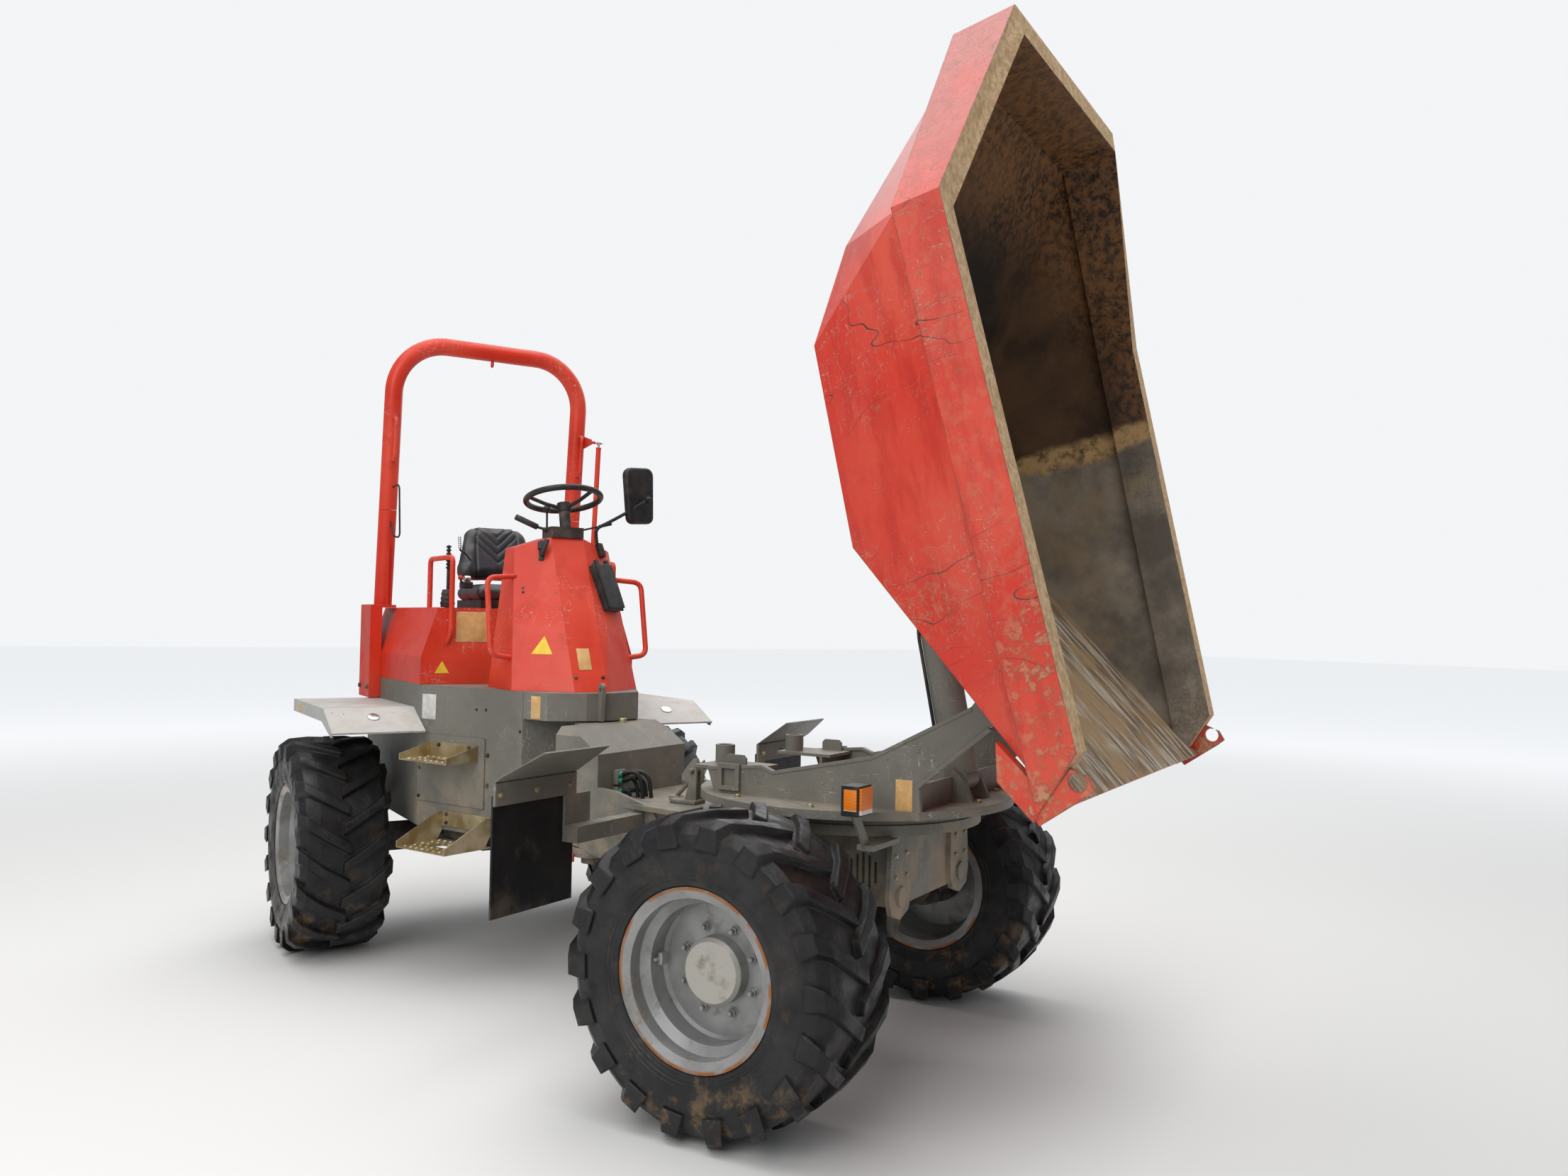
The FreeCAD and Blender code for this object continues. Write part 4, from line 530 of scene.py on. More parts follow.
def tyre_rubber(corner):
    rubber = Recipe("tyre_" + corner, 0.5)
    reach = reach_from_axle(rubber, rubber.within(wheel_unit(corner)))
    tone = rubber.mix(rubber.patch(0.35, 0.7, 5, 6), (0.0065, 0.0065, 0.0075), (0.016, 0.0155, 0.016))
    bloom = rubber.both(rubber.band(reach, 0.47, 0.36), rubber.patch(0.4, 0.7, 9, 5))
    tone = rubber.mix(rubber.both(bloom, 0.4), tone, (0.032, 0.031, 0.030))
    # mud in the grooves, and more of it low down
    groove = rubber.band(reach, 0.496, 0.478)
    mud = rubber.both(rubber.patch(0.50, 0.66, 8, 9, 0.7), rubber.most(groove, 0.25))
    low = rubber.band(rubber.axis(rubber.place, "Z"), 0.55, 0.05)
    mud = rubber.both(mud, rubber.plus(rubber.both(low, 0.75), 0.12))
    tone = rubber.mix(mud, tone, (0.17, 0.105, 0.050))
    rubber.colour(tone)
    rubber.rough(rubber.most(mud, rubber.patch(0.35, 0.75, 14, 4)), 0.30, 0.72)
    # fine rings moulded in the side wall
    ribs = rubber.node("ShaderNodeMath", {0: rubber.both(reach, 420.0)}, operation="SINE").outputs[0]
    wall = rubber.both(rubber.band(reach, 0.335, 0.325), rubber.band(reach, 0.295, 0.305))
    relief = rubber.plus(rubber.both(ribs, wall, 0.8), rubber.both(rubber.noise(70, 6, 0.6), 0.9))
    rubber.bump(relief, 0.0022, 0.7, 0.010)
    return rubber.material


wheel_finishes = {}
for corner in CORNERS:
    wheel_finishes["tyre_" + corner] = tyre_rubber(corner)
print("tyre finishes:", len(wheel_finishes))

# %% [markdown]
# The rims are painted silver grey. Their lip is rusty where the tyre rubs it, and the hub's cap is cleaner
# and paler. Both are found by the distance from the axle too.

# %% Rims
CAP_REACH = 0.108
LIP_REACH = 0.268


def rim_paint(corner):
    paint = Recipe("rim_" + corner, 0.42, 0.35)
    point = paint.within(wheel_unit(corner))
    reach = reach_from_axle(paint, point)
    tone = paint.mix(paint.patch(0.35, 0.7, 6, 7), (0.25, 0.25, 0.245), (0.36, 0.36, 0.35))
    cap = paint.band(reach, CAP_REACH, CAP_REACH - 0.004)
    cap = paint.both(cap, paint.band(paint.axis(point, "Y"), 0.07, 0.075))
    tone = paint.mix(cap, tone, (0.43, 0.41, 0.37))
    rust = paint.both(paint.band(reach, LIP_REACH, LIP_REACH + 0.008), paint.patch(0.38, 0.55, 12, 6))
    tone = paint.mix(rust, tone, (0.30, 0.12, 0.045))
    mud = paint.patch(0.52, 0.70, 9, 9, 0.68)
    tone = paint.mix(paint.both(mud, 0.55), tone, (0.19, 0.135, 0.080))
    paint.colour(tone)
    paint.rough(mud, 0.38, 0.85)
    paint.bump(paint.plus(paint.both(mud, 1.5), paint.both(paint.noise(90, 4), 0.4)), 0.001, 0.6, 0.002)
    return paint.material


for corner in CORNERS:
    wheel_finishes["rim_" + corner] = rim_paint(corner)
print("wheel finishes:", len(wheel_finishes))

# %% [markdown]
# Most of the rest is one recipe with other numbers: cloudy zinc plate, dirty cast iron, hard chrome on the
# rods, black moulded plastic and sheet rubber. Each has two tones, a fine grain and a film of dust.

# %% Zinc, iron, chrome, plastic and rubber


def speckled(name, dark, light, roughness, scale=18.0, grain=0.0006, metallic=0.0, dust=0.25):
    """Two tones in patches of a scale, a grain of a depth in metres, and some dust."""
    finish = Recipe(name, roughness, metallic)
    tone = finish.mix(finish.patch(0.35, 0.68, scale, 7), dark, light)
    film = finish.both(finish.patch(0.48, 0.72, 6, 9, 0.68), dust)
    finish.colour(finish.mix(film, tone, DUST))
    finish.rough(finish.most(film, finish.both(finish.noise(30, 4), 0.5)), roughness * 0.8,
                 min(0.95, roughness + 0.35))
    finish.bump(finish.noise(220, 4, 0.6), grain, 0.7, 0.002)
    return finish.material


zinc = speckled("yellow_zinc", (0.36, 0.27, 0.13), (0.62, 0.54, 0.36), 0.38, 9.0, 0.0004, 0.75, 0.45)
iron = speckled("dirty_iron", (0.045, 0.040, 0.036), (0.12, 0.10, 0.085), 0.62, 12.0, 0.0015, 0.4, 0.65)
chrome = speckled("hard_chrome", (0.55, 0.55, 0.56), (0.66, 0.66, 0.66), 0.16, 5.0, 0.0001, 1.0, 0.12)
plastic = speckled("black_plastic", (0.010, 0.010, 0.011), (0.022, 0.022, 0.022), 0.42, 22.0, 0.0004, 0.0,
                   0.10)
sheet_rubber = speckled("rubber_sheet", (0.007, 0.007, 0.008), (0.016, 0.0155, 0.015), 0.50, 7.0, 0.0008, 0.0,
                        0.16)
print("iron, zinc, chrome, plastic and rubber ready")


# %% [markdown]
# The seat's vinyl shines more than plastic and has a fine leather grain, which cells give better than noise.

# %% Seat vinyl


def vinyl_finish():
    vinyl = Recipe("seat_vinyl", 0.42)
    tone = vinyl.mix(vinyl.patch(0.4, 0.7, 12, 5), (0.017, 0.018, 0.021), (0.032, 0.034, 0.039))
    film = vinyl.both(vinyl.patch(0.5, 0.75, 8, 8), 0.07)
    vinyl.shader.inputs["Specular IOR Level"].default_value = 0.6
    vinyl.colour(vinyl.mix(film, tone, DUST))
    vinyl.rough(vinyl.noise(20, 4), 0.26, 0.48)
    cells = vinyl.node("ShaderNodeTexVoronoi", {"Vector": vinyl.place, "Scale": 420.0}).outputs["Distance"]
    vinyl.bump(cells, 0.0006, 0.6)
    return vinyl.material


vinyl = vinyl_finish()
print("vinyl:", vinyl.name)

# %% [markdown]
# A lamp has an amber lens above and a clear one below, in one moulding, with fine ribs inside that a sine
# wave gives. Its shell is black, but the stay under it has the machine's grey, so both finishes change
# colour at a height.

# %% Lamps
LENS_SPLIT = 1.012
SHELL_FOOT = 0.988


def lens_finish():
    """Amber above, clear below, with fine ribs moulded inside."""
    lens = Recipe("lamp_lens", 0.12)
    height = lens.axis(lens.place, "Z")
    split = lens.band(height, LENS_SPLIT, LENS_SPLIT + 0.003)
    ribs = lens.node("ShaderNodeMath", {0: lens.both(height, 1400.0)}, operation="SINE").outputs[0]
    warm = lens.mix(lens.band(ribs, -0.6, 0.6), (0.62, 0.13, 0.008), (0.90, 0.26, 0.015))
    clear = lens.mix(lens.band(ribs, -0.6, 0.6), (0.55, 0.52, 0.46), (0.78, 0.75, 0.68))
    lens.colour(lens.mix(split, clear, warm))
    lens.rough(lens.noise(25, 4), 0.08, 0.30)
    lens.bump(ribs, 0.0005, 0.4)
    return lens.material


def lamp_shell_finish():
    """Grey paint on the stay, and black plastic on the lamp's housing above it."""
    shell = Recipe("lamp_shell", 0.45)
    housing = shell.band(shell.axis(shell.place, "Z"), SHELL_FOOT, SHELL_FOOT + 0.002)
    paint = shell.mix(shell.patch(0.35, 0.7, 6, 6), GREY, FADED_GREY)
    black = shell.mix(shell.patch(0.35, 0.7, 18, 5), (0.010, 0.010, 0.011), (0.026, 0.025, 0.024))
    film = shell.both(shell.patch(0.50, 0.72, 7, 8, 0.68), 0.30)
    shell.colour(shell.mix(film, shell.mix(housing, paint, black), DUST))
    shell.rough(film, 0.42, 0.85)
    shell.bump(shell.noise(160, 3), 0.0006, 0.6, 0.002)
    return shell.material


lens = lens_finish()
lamp_shell = lamp_shell_finish()
print("lamps:", lens.name, "and", lamp_shell.name)

# %% [markdown]
# Now every CAD part gets its finish by its material slot. The slot says what it is made of, and the body says
# which unit's pattern it follows. The skip, the wheels, the mudguards and the lamps' stays have their own.

# %% Hand the finishes out
slot_finish = {
    "red_paint": red_paint, "zinc": zinc, "dark_iron": iron, "bright_rod": chrome, "black_plastic": plastic,
    "black_rubber": sheet_rubber, "seat_vinyl": vinyl, "lamp_lens": lens,
}
own_finish = {**wheel_finishes, **skip_finishes, "rear_fenders": fender_paint, "lamp_stays": lamp_shell}
for name, part in frame["nodes"].items():
    finish = slot_finish.get(slot_of[name])
    if slot_of[name] == "grey_paint":
        finish = grey_rear if part["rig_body"] in ("rear_unit", "steer_ram_tube") else grey_front
    part.data.materials.clear()
    part.data.materials.append(own_finish.get(name, finish))
print("finished", len(frame["nodes"]), "CAD parts")

# %% [markdown]
# ## Pieces
# An operator acts on all that is selected, so each step first chooses its piece and nothing else. A finished
# piece is settled: it goes from "straight ahead" to its parked place, its object comes to the origin with the
# place in its mesh, and it rides on a body. Homes and looks are named once here, because many pieces share
# them.

# %% Choosing and settling
ON_REAR = (REAR, "rear_unit")
ON_FRONT = (FRONT, "front_unit")
ON_TURNTABLE = (FRONT, "turntable")
BLACK_PLASTIC = ("black_plastic", plastic)
RUBBER = ("black_rubber", sheet_rubber)
SEAT_VINYL = ("seat_vinyl", vinyl)
ZINC = ("zinc", zinc)
RED_PAINT = ("red_paint", red_paint)


def clear_selection():
    if bpy.context.object and bpy.context.object.mode != "OBJECT":
        bpy.ops.object.mode_set(mode="OBJECT")
    bpy.ops.object.select_all(action="DESELECT")


def choose_only(piece):
    clear_selection()
    piece.select_set(True)
    bpy.context.view_layer.objects.active = piece


def settle(piece, name, home, look, smooth=35):
    """Places a piece for good. The home is a unit and a body, the look is a slot and a material."""
    unit, body = home
    slot, material = look
    choose_only(piece)
    piece.name = name
    piece.matrix_world = unit @ piece.matrix_world
    bpy.ops.object.transform_apply(location=True, rotation=True, scale=True)
    bpy.ops.object.shade_smooth_by_angle(angle=math.radians(smooth))
    piece.data.materials.clear()
    piece.data.materials.append(material)
    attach(piece, body)
    return piece


print("homes on", [body for unit, body in (ON_REAR, ON_FRONT, ON_TURNTABLE)])

# %% [markdown]
# Most small pieces are a few simple forms joined together. A rod is a cylinder between two points, a bolt is
# a round washer with a six-sided rod on it, and a block is a scaled cube. A small bevel on each edge catches
# the light, as on a real part.

# %% Rods, bolts and blocks


def join_all(parts):
    """One object from several."""
    clear_selection()
    for part in parts:
        part.select_set(True)
    bpy.context.view_layer.objects.active = parts[0]
    bpy.ops.object.join()
    return bpy.context.object


def apply_modifier(piece, kind, **settings):
    choose_only(piece)
    modifier = piece.modifiers.new(kind.lower(), kind)
    for key, value in settings.items():
        setattr(modifier, key, value)
    bpy.ops.object.modifier_apply(modifier=modifier.name)


def add_rod(start, end, radius, sides=20):
    """A round bar between two points, with a small chamfer at its ends."""
    start = Vector(start)
    end = Vector(end)
    way = end - start
    bpy.ops.mesh.primitive_cylinder_add(vertices=sides, radius=radius, depth=way.length,
                                        location=(start + end) / 2,
                                        rotation=way.to_track_quat("Z", "Y").to_euler())
    rod = bpy.context.object
    chamfer = min(radius * 0.25, way.length * 0.2)
    apply_modifier(rod, "BEVEL", width=chamfer, segments=2, limit_method="ANGLE")
    return rod


def add_bolt(at, way, size):
    """A hexagon head on its washer, standing out along a direction."""
    way = Vector(way).normalized()
    washer_top = at + way * size * 0.16
    washer = add_rod(at, washer_top, size * 1.05)
    head = add_rod(washer_top, at + way * size * 0.85, size * 0.86, 6)
    return join_all([washer, head])


def add_block(at, size, bevel):
    """A block with rounded edges, from its middle and its size."""
    bpy.ops.mesh.primitive_cube_add(size=1, location=at)
    block = bpy.context.object
    block.scale = size
    choose_only(block)
    bpy.ops.object.transform_apply(location=False, rotation=False, scale=True)
    apply_modifier(block, "BEVEL", width=bevel, segments=3)
    return block


print("rods, bolts and blocks ready")

# %% [markdown]
# Two more forms have no primitive of their own. A slab is one face with any outline, given thickness. A hose
# is a smooth curve with a round section, turned into a mesh.

# %% Slabs and hoses


def add_object(name, data):
    """Puts new mesh or curve data into the scene, and chooses it."""
    made = bpy.data.objects.new(name, data)
    bpy.context.scene.collection.objects.link(made)
    choose_only(made)
    return made


def face_outwards(piece):
    """Turns all faces of a closed form outwards."""
    choose_only(piece)
    bpy.ops.object.mode_set(mode="EDIT")
    bpy.ops.mesh.select_all(action="SELECT")
    bpy.ops.mesh.normals_make_consistent(inside=False)
    bpy.ops.object.mode_set(mode="OBJECT")


def add_slab(corners, thick, bevel):
    """A plate or a pad, from the corners of its middle plane and its thickness."""
    mesh = bpy.data.meshes.new("slab")
    mesh.from_pydata(corners, [], [tuple(range(len(corners)))])
    slab = add_object("slab", mesh)
    apply_modifier(slab, "SOLIDIFY", thickness=thick, offset=0)
    apply_modifier(slab, "BEVEL", width=bevel, segments=3, limit_method="ANGLE")
    face_outwards(slab)
    return slab


def add_hose(points, radius, sides=4):
    """A smooth tube along points."""
    curve = bpy.data.curves.new("hose", "CURVE")
    curve.dimensions = "3D"
    curve.bevel_depth = radius
    curve.bevel_resolution = sides
    curve.resolution_u = 10
    curve.use_fill_caps = True
    path = curve.splines.new("NURBS")
    path.points.add(len(points) - 1)
    for point, at in zip(path.points, points):
        point.co = (*at, 1)
    path.order_u = 3
    path.use_endpoint_u = True
    add_object("hose", curve)
    bpy.ops.object.convert(target="MESH")
    return bpy.context.object


print("slabs and hoses ready")

# %% [markdown]
# Eight wheel nuts stand on studs in the dish of each wheel, and a valve with its guard points out of the
# well. A function models the set about a wheel's own axle, so one call makes it for each of the four wheels.

# %% Wheel nuts and valves
NUTS = 8
NUT_CIRCLE = 0.1375
DISC_FACE = 0.0303
AXLE_WAY = Vector((0, 1, 0))


def add_nut_ring():
    """Nuts on their studs and the valve with its guard, with y along the axle."""
    parts = []
    for index in range(NUTS):
        turn = 2 * math.pi * (index + 0.5) / NUTS
        at = Vector((NUT_CIRCLE * math.cos(turn), DISC_FACE, NUT_CIRCLE * math.sin(turn)))
        parts.append(add_bolt(at, AXLE_WAY, 0.0155))
        parts.append(add_rod(at + AXLE_WAY * 0.012, at + AXLE_WAY * 0.030, 0.0085, 12))
    parts.append(add_rod((0.190, 0.055, 0.012), (0.205, 0.105, 0.012), 0.006, 12))
    parts.append(add_block((0.196, 0.070, 0.012), (0.016, 0.034, 0.040), 0.004))
    return join_all(parts)


for corner in CORNERS:
    home = (wheel_unit(corner), "wheel_" + corner)
    settle(add_nut_ring(), "nuts_" + corner, home, ("silver_paint", wheel_finishes["rim_" + corner]))
print("nuts on", len(CORNERS), "wheels")

# %% [markdown]
# The seat is a moulded vinyl bucket. Its pads are swollen with the cloth solver: a rounded form is remeshed,
# blown up with a little pressure and held to a few millimetres, then smoothed. Sewn channels are pressed in
# after that, because remeshing would rub them out.

# %% Swelling and pressing
VOXEL = 0.006
CLOTH_PRESSURE = 4
CLOTH_STEPS = 20


def swell(pad, cap):
    """Blows the pad up, moves no point further than the cap, and evens out the folds."""
    apply_modifier(pad, "REMESH", mode="VOXEL", voxel_size=VOXEL)
    start = [vertex.co.copy() for vertex in pad.data.vertices]
    choose_only(pad)
    cloth = pad.modifiers.new("cloth", "CLOTH")
    cloth.settings.use_pressure = True
    cloth.settings.uniform_pressure_force = CLOTH_PRESSURE
    cloth.settings.effector_weights.gravity = 0
    cloth.point_cache.frame_start = 1
    cloth.point_cache.frame_end = CLOTH_STEPS
    for step in range(1, CLOTH_STEPS + 1):
        bpy.context.scene.frame_set(step)
    bpy.ops.object.modifier_apply(modifier=cloth.name)
    bpy.context.scene.frame_set(1)
    for vertex, before in zip(pad.data.vertices, start):
        move = vertex.co - before
        if move.length > cap:
            vertex.co = before + move * (cap / move.length)
    apply_modifier(pad, "SMOOTH", factor=0.5, iterations=14)
    apply_modifier(pad, "SUBSURF", levels=1, render_levels=1)


def press(pad, depth_at):
    """Moves each point along its normal by what a function of its place says, and smooths that a little."""
    normals = [vertex.normal.copy() for vertex in pad.data.vertices]
    for vertex, normal in zip(pad.data.vertices, normals):
        vertex.co += normal * depth_at(vertex.co)
    apply_modifier(pad, "SMOOTH", factor=0.5, iterations=2)


def groove(distance, width, depth):
    return -depth * math.exp(-(distance / width) ** 2)


def rise(value, start, width):
    """0 up to the start, 1 past the width, straight between."""
    return max(0.0, min(1.0, (value - start) / width))


print("voxels of", VOXEL * 1000, "mm")

# %% [markdown]
# The cushion starts as a rounded block inside its CAD solid, a little smaller, because it swells. Its sides
# rise as bolsters, with a sewn seam inside each and one across, nearer the back.

# %% Seat cushion
base_low, base_high = [REAR.inverted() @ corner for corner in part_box("seat_cushion")]
cushion_low = base_low + Vector((0.02, 0.02, 0.004))
cushion_high = base_high - Vector((0.02, 0.02, 0.018))
cushion = add_block((cushion_low + cushion_high) / 2, cushion_high - cushion_low, 0.03)
swell(cushion, 0.014)


def cushion_relief(point):
    side = abs(point.y)
    bolster = 0.016 * rise(side, 0.13, 0.05) if point.z > base_high.z - 0.05 else 0.0
    seams = groove(side - 0.135, 0.005, 0.006) + groove(point.x - (base_low.x + 0.16), 0.005, 0.005)
    return bolster + (seams if point.z > base_high.z - 0.06 else 0.0)


press(cushion, cushion_relief)
settle(cushion, "cushion_pad", ON_REAR, SEAT_VINYL)
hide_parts("seat_cushion")
print("cushion:", len(cushion.data.vertices), "points")

# %% [markdown]
# The back is narrower at its round top. A block could not give that outline, so it starts as a slab that has
# it. It is modelled upright, where the chevrons are easy to measure, and leans back last.

# %% Seat back
LEAN = 0.27
back_low, back_high = [REAR.inverted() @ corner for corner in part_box("seat_back")]
back_half = back_high.y - 0.012
back_tall = (back_high.z - back_low.z) / math.cos(LEAN) - 0.035


def pad_outline(half_low, half_high, height, low_round, high_round):
    """An upright outline with round corners, as (sideways, height), starting at the lower right."""
    low_y = half_low - low_round
    high_y = half_high - high_round
    high_z = height - high_round
    points = []
    for middle_y, middle_z, radius, start in ((low_y, low_round, low_round, -90),
                                              (high_y, high_z, high_round, 0),
                                              (-high_y, high_z, high_round, 90),
                                              (-low_y, low_round, low_round, 180)):
        for step in range(7):
            turn = math.radians(start + 15 * step)
            points.append((middle_y + radius * math.cos(turn), middle_z + radius * math.sin(turn)))
    return points


def back_relief(point):
    """Side bolsters, one channel inside each, and chevrons that climb outwards."""
    if point.x < 0.02:
        return 0.0
    side = abs(point.y)
    bolster = 0.016 * rise(side, 0.115, 0.045)
    channels = groove(side - (0.118 - 0.10 * max(0.0, point.z - 0.16)), 0.006, 0.008)
    inside = rise(0.116, side, 0.02)
    for index in range(4):
        channels += inside * groove(point.z - (0.085 + 0.048 * index + 0.95 * side), 0.0065, 0.008)
    return bolster + channels


back = add_slab([(0, y, z) for y, z in pad_outline(back_half, back_half * 0.80, back_tall, 0.05, 0.085)],
                0.105, 0.030)
swell(back, 0.010)
press(back, back_relief)
back.matrix_world = (Matrix.Translation((back_high.x - 0.065, 0, back_low.z + 0.02))
                     @ Matrix.Rotation(-LEAN, 4, "Y"))
settle(back, "back_pad", ON_REAR, SEAT_VINYL)
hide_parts("seat_back")
print("back:", len(back.data.vertices), "points")

# %% [markdown]
# The control lever beside the seat moves in a rubber boot with folds. The folds are rings of the boot's
# profile, so the boot is a profile spun about the lever: wide and narrow by turns, and smaller towards the
# top. The lever above it is a rod with a ribbed grip, built from blocks.

# %% Lever boot and lever
FOLDS = 4
BOOT_RADIUS = 0.042
BOOT_TALL = 0.090
lever_low, lever_high = [REAR.inverted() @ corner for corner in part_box("control_lever")]
lever_x = (lever_low.x + lever_high.x) / 2
lever_y = (lever_low.y + lever_high.y) / 2
profile = []
for index in range(2 * FOLDS + 1):
    share = index / (2 * FOLDS)
    radius = BOOT_RADIUS - 0.008 * share - (0.012 if index % 2 else 0.0)
    profile.append((radius, 0, lever_low.z + BOOT_TALL * share))
boot_mesh = bpy.data.meshes.new("boot")
boot_mesh.from_pydata(profile, [(index, index + 1) for index in range(2 * FOLDS)], [])
boot = add_object("boot", boot_mesh)
bpy.ops.object.mode_set(mode="EDIT")
bpy.ops.mesh.select_all(action="SELECT")
bpy.ops.mesh.spin(steps=28, angle=2 * math.pi, center=(0, 0, 0), axis=(0, 0, 1))
bpy.ops.mesh.remove_doubles(threshold=0.0003)
bpy.ops.mesh.select_all(action="SELECT")
bpy.ops.mesh.fill_holes(sides=60)
bpy.ops.object.mode_set(mode="OBJECT")
face_outwards(boot)
apply_modifier(boot, "SUBSURF", levels=1, render_levels=1)
boot.location = (lever_x, lever_y, 0)
settle(boot, "lever_boot", ON_REAR, RUBBER, 60)
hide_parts("control_lever")
stick = [add_rod((lever_x, lever_y, lever_low.z + 0.086), (lever_x, lever_y, lever_high.z - 0.100), 0.0075),
         add_block((lever_x, lever_y, lever_high.z - 0.062), (0.016, 0.012, 0.118), 0.003)]
for index in range(7):
    rib_z = lever_high.z - 0.113 + 0.017 * index
    stick.append(add_block((lever_x, lever_y, rib_z), (0.026, 0.020, 0.009), 0.003))
lever_stick = settle(join_all(stick), "lever_stick", ON_REAR, BLACK_PLASTIC)
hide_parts("control_lever")
print("lever boot with", FOLDS, "folds")

# %% [markdown]
# Small plates, bolts and hoses make a machine look built instead of moulded. They must sit on faces that
# slant both ways. So each is set by a ray, the way a dart finds a board: the ray starts outside, flies at a
# CAD part, and gives the place where it lands and the direction that the face looks.

# %% Places found by rays
BACKWARDS = (-1, 0, 0)
DOWNWARDS = (0, 0, -1)
HULL_BEND = (-0.820, 0.542)
HULL_SLOPE = math.atan2(0.542 - 0.212, 0.820 - 0.023)
RAY_START = 0.06


def touch(node, unit, start, way):
    """Place and outward direction, in the unit's coordinates, where a ray meets a CAD part."""
    part = frame["nodes"][node]
    ray_way = (unit.to_3x3() @ Vector(way)).normalized()
    hit, at, normal, face = part.ray_cast(unit @ Vector(start), ray_way)
    if not hit:
        raise ValueError("the ray from %s misses %s" % (start, node))
    home = unit.inverted()
    return home @ at, (home.to_3x3() @ normal).normalized()


def beside_hull(side, along, out, height):
    """A place by its distance along the hull's slanted side, from the bend, and out from it."""
    x = HULL_BEND[0] + along * math.cos(HULL_SLOPE) + out * math.sin(HULL_SLOPE)
    y = HULL_BEND[1] - along * math.sin(HULL_SLOPE) + out * math.cos(HULL_SLOPE)
    return x, side * y, height


def on_hull(side, along, height, node="rear_chassis"):
    """Where a ray from outside meets the hull's slanted side, or a part that is fixed there."""
    out = Vector((math.sin(HULL_SLOPE), side * math.cos(HULL_SLOPE), 0))
    return touch(node, REAR, Vector(beside_hull(side, along, 0, height)) + out * RAY_START, -out)


def lay_on(piece, at, normal):
    """Turns a piece drawn flat, with its front on +z and its top on +y, onto a face."""
    upward = (Vector((0, 0, 1)) - normal * normal.z).normalized()
    if abs(normal.z) > 0.99:
        upward = Vector(BACKWARDS)
    sideways = upward.cross(normal)
    turn = Matrix((sideways, upward, normal)).transposed().to_4x4()
    piece.matrix_world = Matrix.Translation(at) @ turn @ piece.matrix_world
    choose_only(piece)
    bpy.ops.object.transform_apply(location=True, rotation=True, scale=True)
    return piece


print("the console's slanted face looks to", touch("console", REAR, (1.0, -0.168, 1.471), BACKWARDS)[1][:])

# %% [markdown]
# The stickers and plates carry no print. A plate is a thin block, and a warning triangle is a three-sided
# cylinder, about a millimetre thick. Their finishes are film with scuffs and dust.

# %% Blank stickers and plates
FILM_THICK = 0.0012
FACE_GAP = 0.0003
SIDEWAYS = (0, 1, 0)
yellow_film = speckled("yellow_film", (0.80, 0.52, 0.02), (0.88, 0.62, 0.06), 0.35, 30.0, 0.0002, 0.0, 0.35)
tan_film = speckled("tan_film", (0.62, 0.36, 0.13), (0.72, 0.46, 0.20), 0.40, 30.0, 0.0002, 0.0, 0.35)
white_film = speckled("white_film", (0.55, 0.55, 0.52), (0.68, 0.68, 0.65), 0.35, 30.0, 0.0002, 0.0, 0.45)


def add_plate(wide, tall):
    return add_block((0, 0, FILM_THICK / 2), (wide, tall, FILM_THICK), 0.0004)


def add_triangle(side):
    bpy.ops.mesh.primitive_cylinder_add(vertices=3, radius=side / math.sqrt(3), depth=FILM_THICK,
                                        location=(0, 0, FILM_THICK / 2))
    triangle = bpy.context.object
    choose_only(triangle)
    bpy.ops.object.transform_apply(location=True, rotation=True, scale=True)
    return triangle


# name, piece, place and direction, finish
films = [
    ("console_triangle", add_triangle(0.100), touch("console", REAR, (1, -0.168, 1.478), BACKWARDS),
     yellow_film),
    ("console_plate", add_plate(0.060, 0.104), touch("console", REAR, (1, -0.012, 1.432), BACKWARDS),
     tan_film),
    ("cover_plate", add_plate(0.161, 0.145), touch("rear_cover", REAR, (-0.7, -0.298, 1.564), BACKWARDS),
     tan_film),
    ("cover_triangle", add_triangle(0.068), touch("rear_cover", REAR, (-0.7, -0.441, 1.362), BACKWARDS),
     yellow_film),
    ("fender_plate", add_plate(0.075, 0.034), touch("rear_fenders", REAR, (-1.478, -1.2, 1.146), SIDEWAYS),
     tan_film),
    ("arm_plate", add_plate(0.062, 0.106), touch("turret", FRONT, (1.663, -0.6, 1.036), SIDEWAYS), tan_film),
    ("type_plate", add_plate(0.100, 0.116), on_hull(-1, 0.072, 1.191), white_film),
    ("hull_plate", add_plate(0.060, 0.098), on_hull(-1, 0.790, 1.225), tan_film),
]
for name, film, (at, normal), finish in films:
    home = ON_TURNTABLE if name == "arm_plate" else ON_REAR
    settle(lay_on(film, at + normal * FACE_GAP, normal), name, home, ("lamp_lens", finish))
print("blank films:", len(films))

# %% [markdown]
# Bolts come from tables of places. All the bolts on one body become one piece. Three plugged holes on each
# side of the hull are flat black discs.

# %% Bolts and plugs
HEAD_GAP = 0.0002
RING_BOLTS = 10
RING_RADIUS = 0.528


def heads(places, size):
    """Bolt heads, from pairs of a place and an outward direction."""
    return [add_bolt(at + normal * HEAD_GAP, normal, size) for at, normal in places]


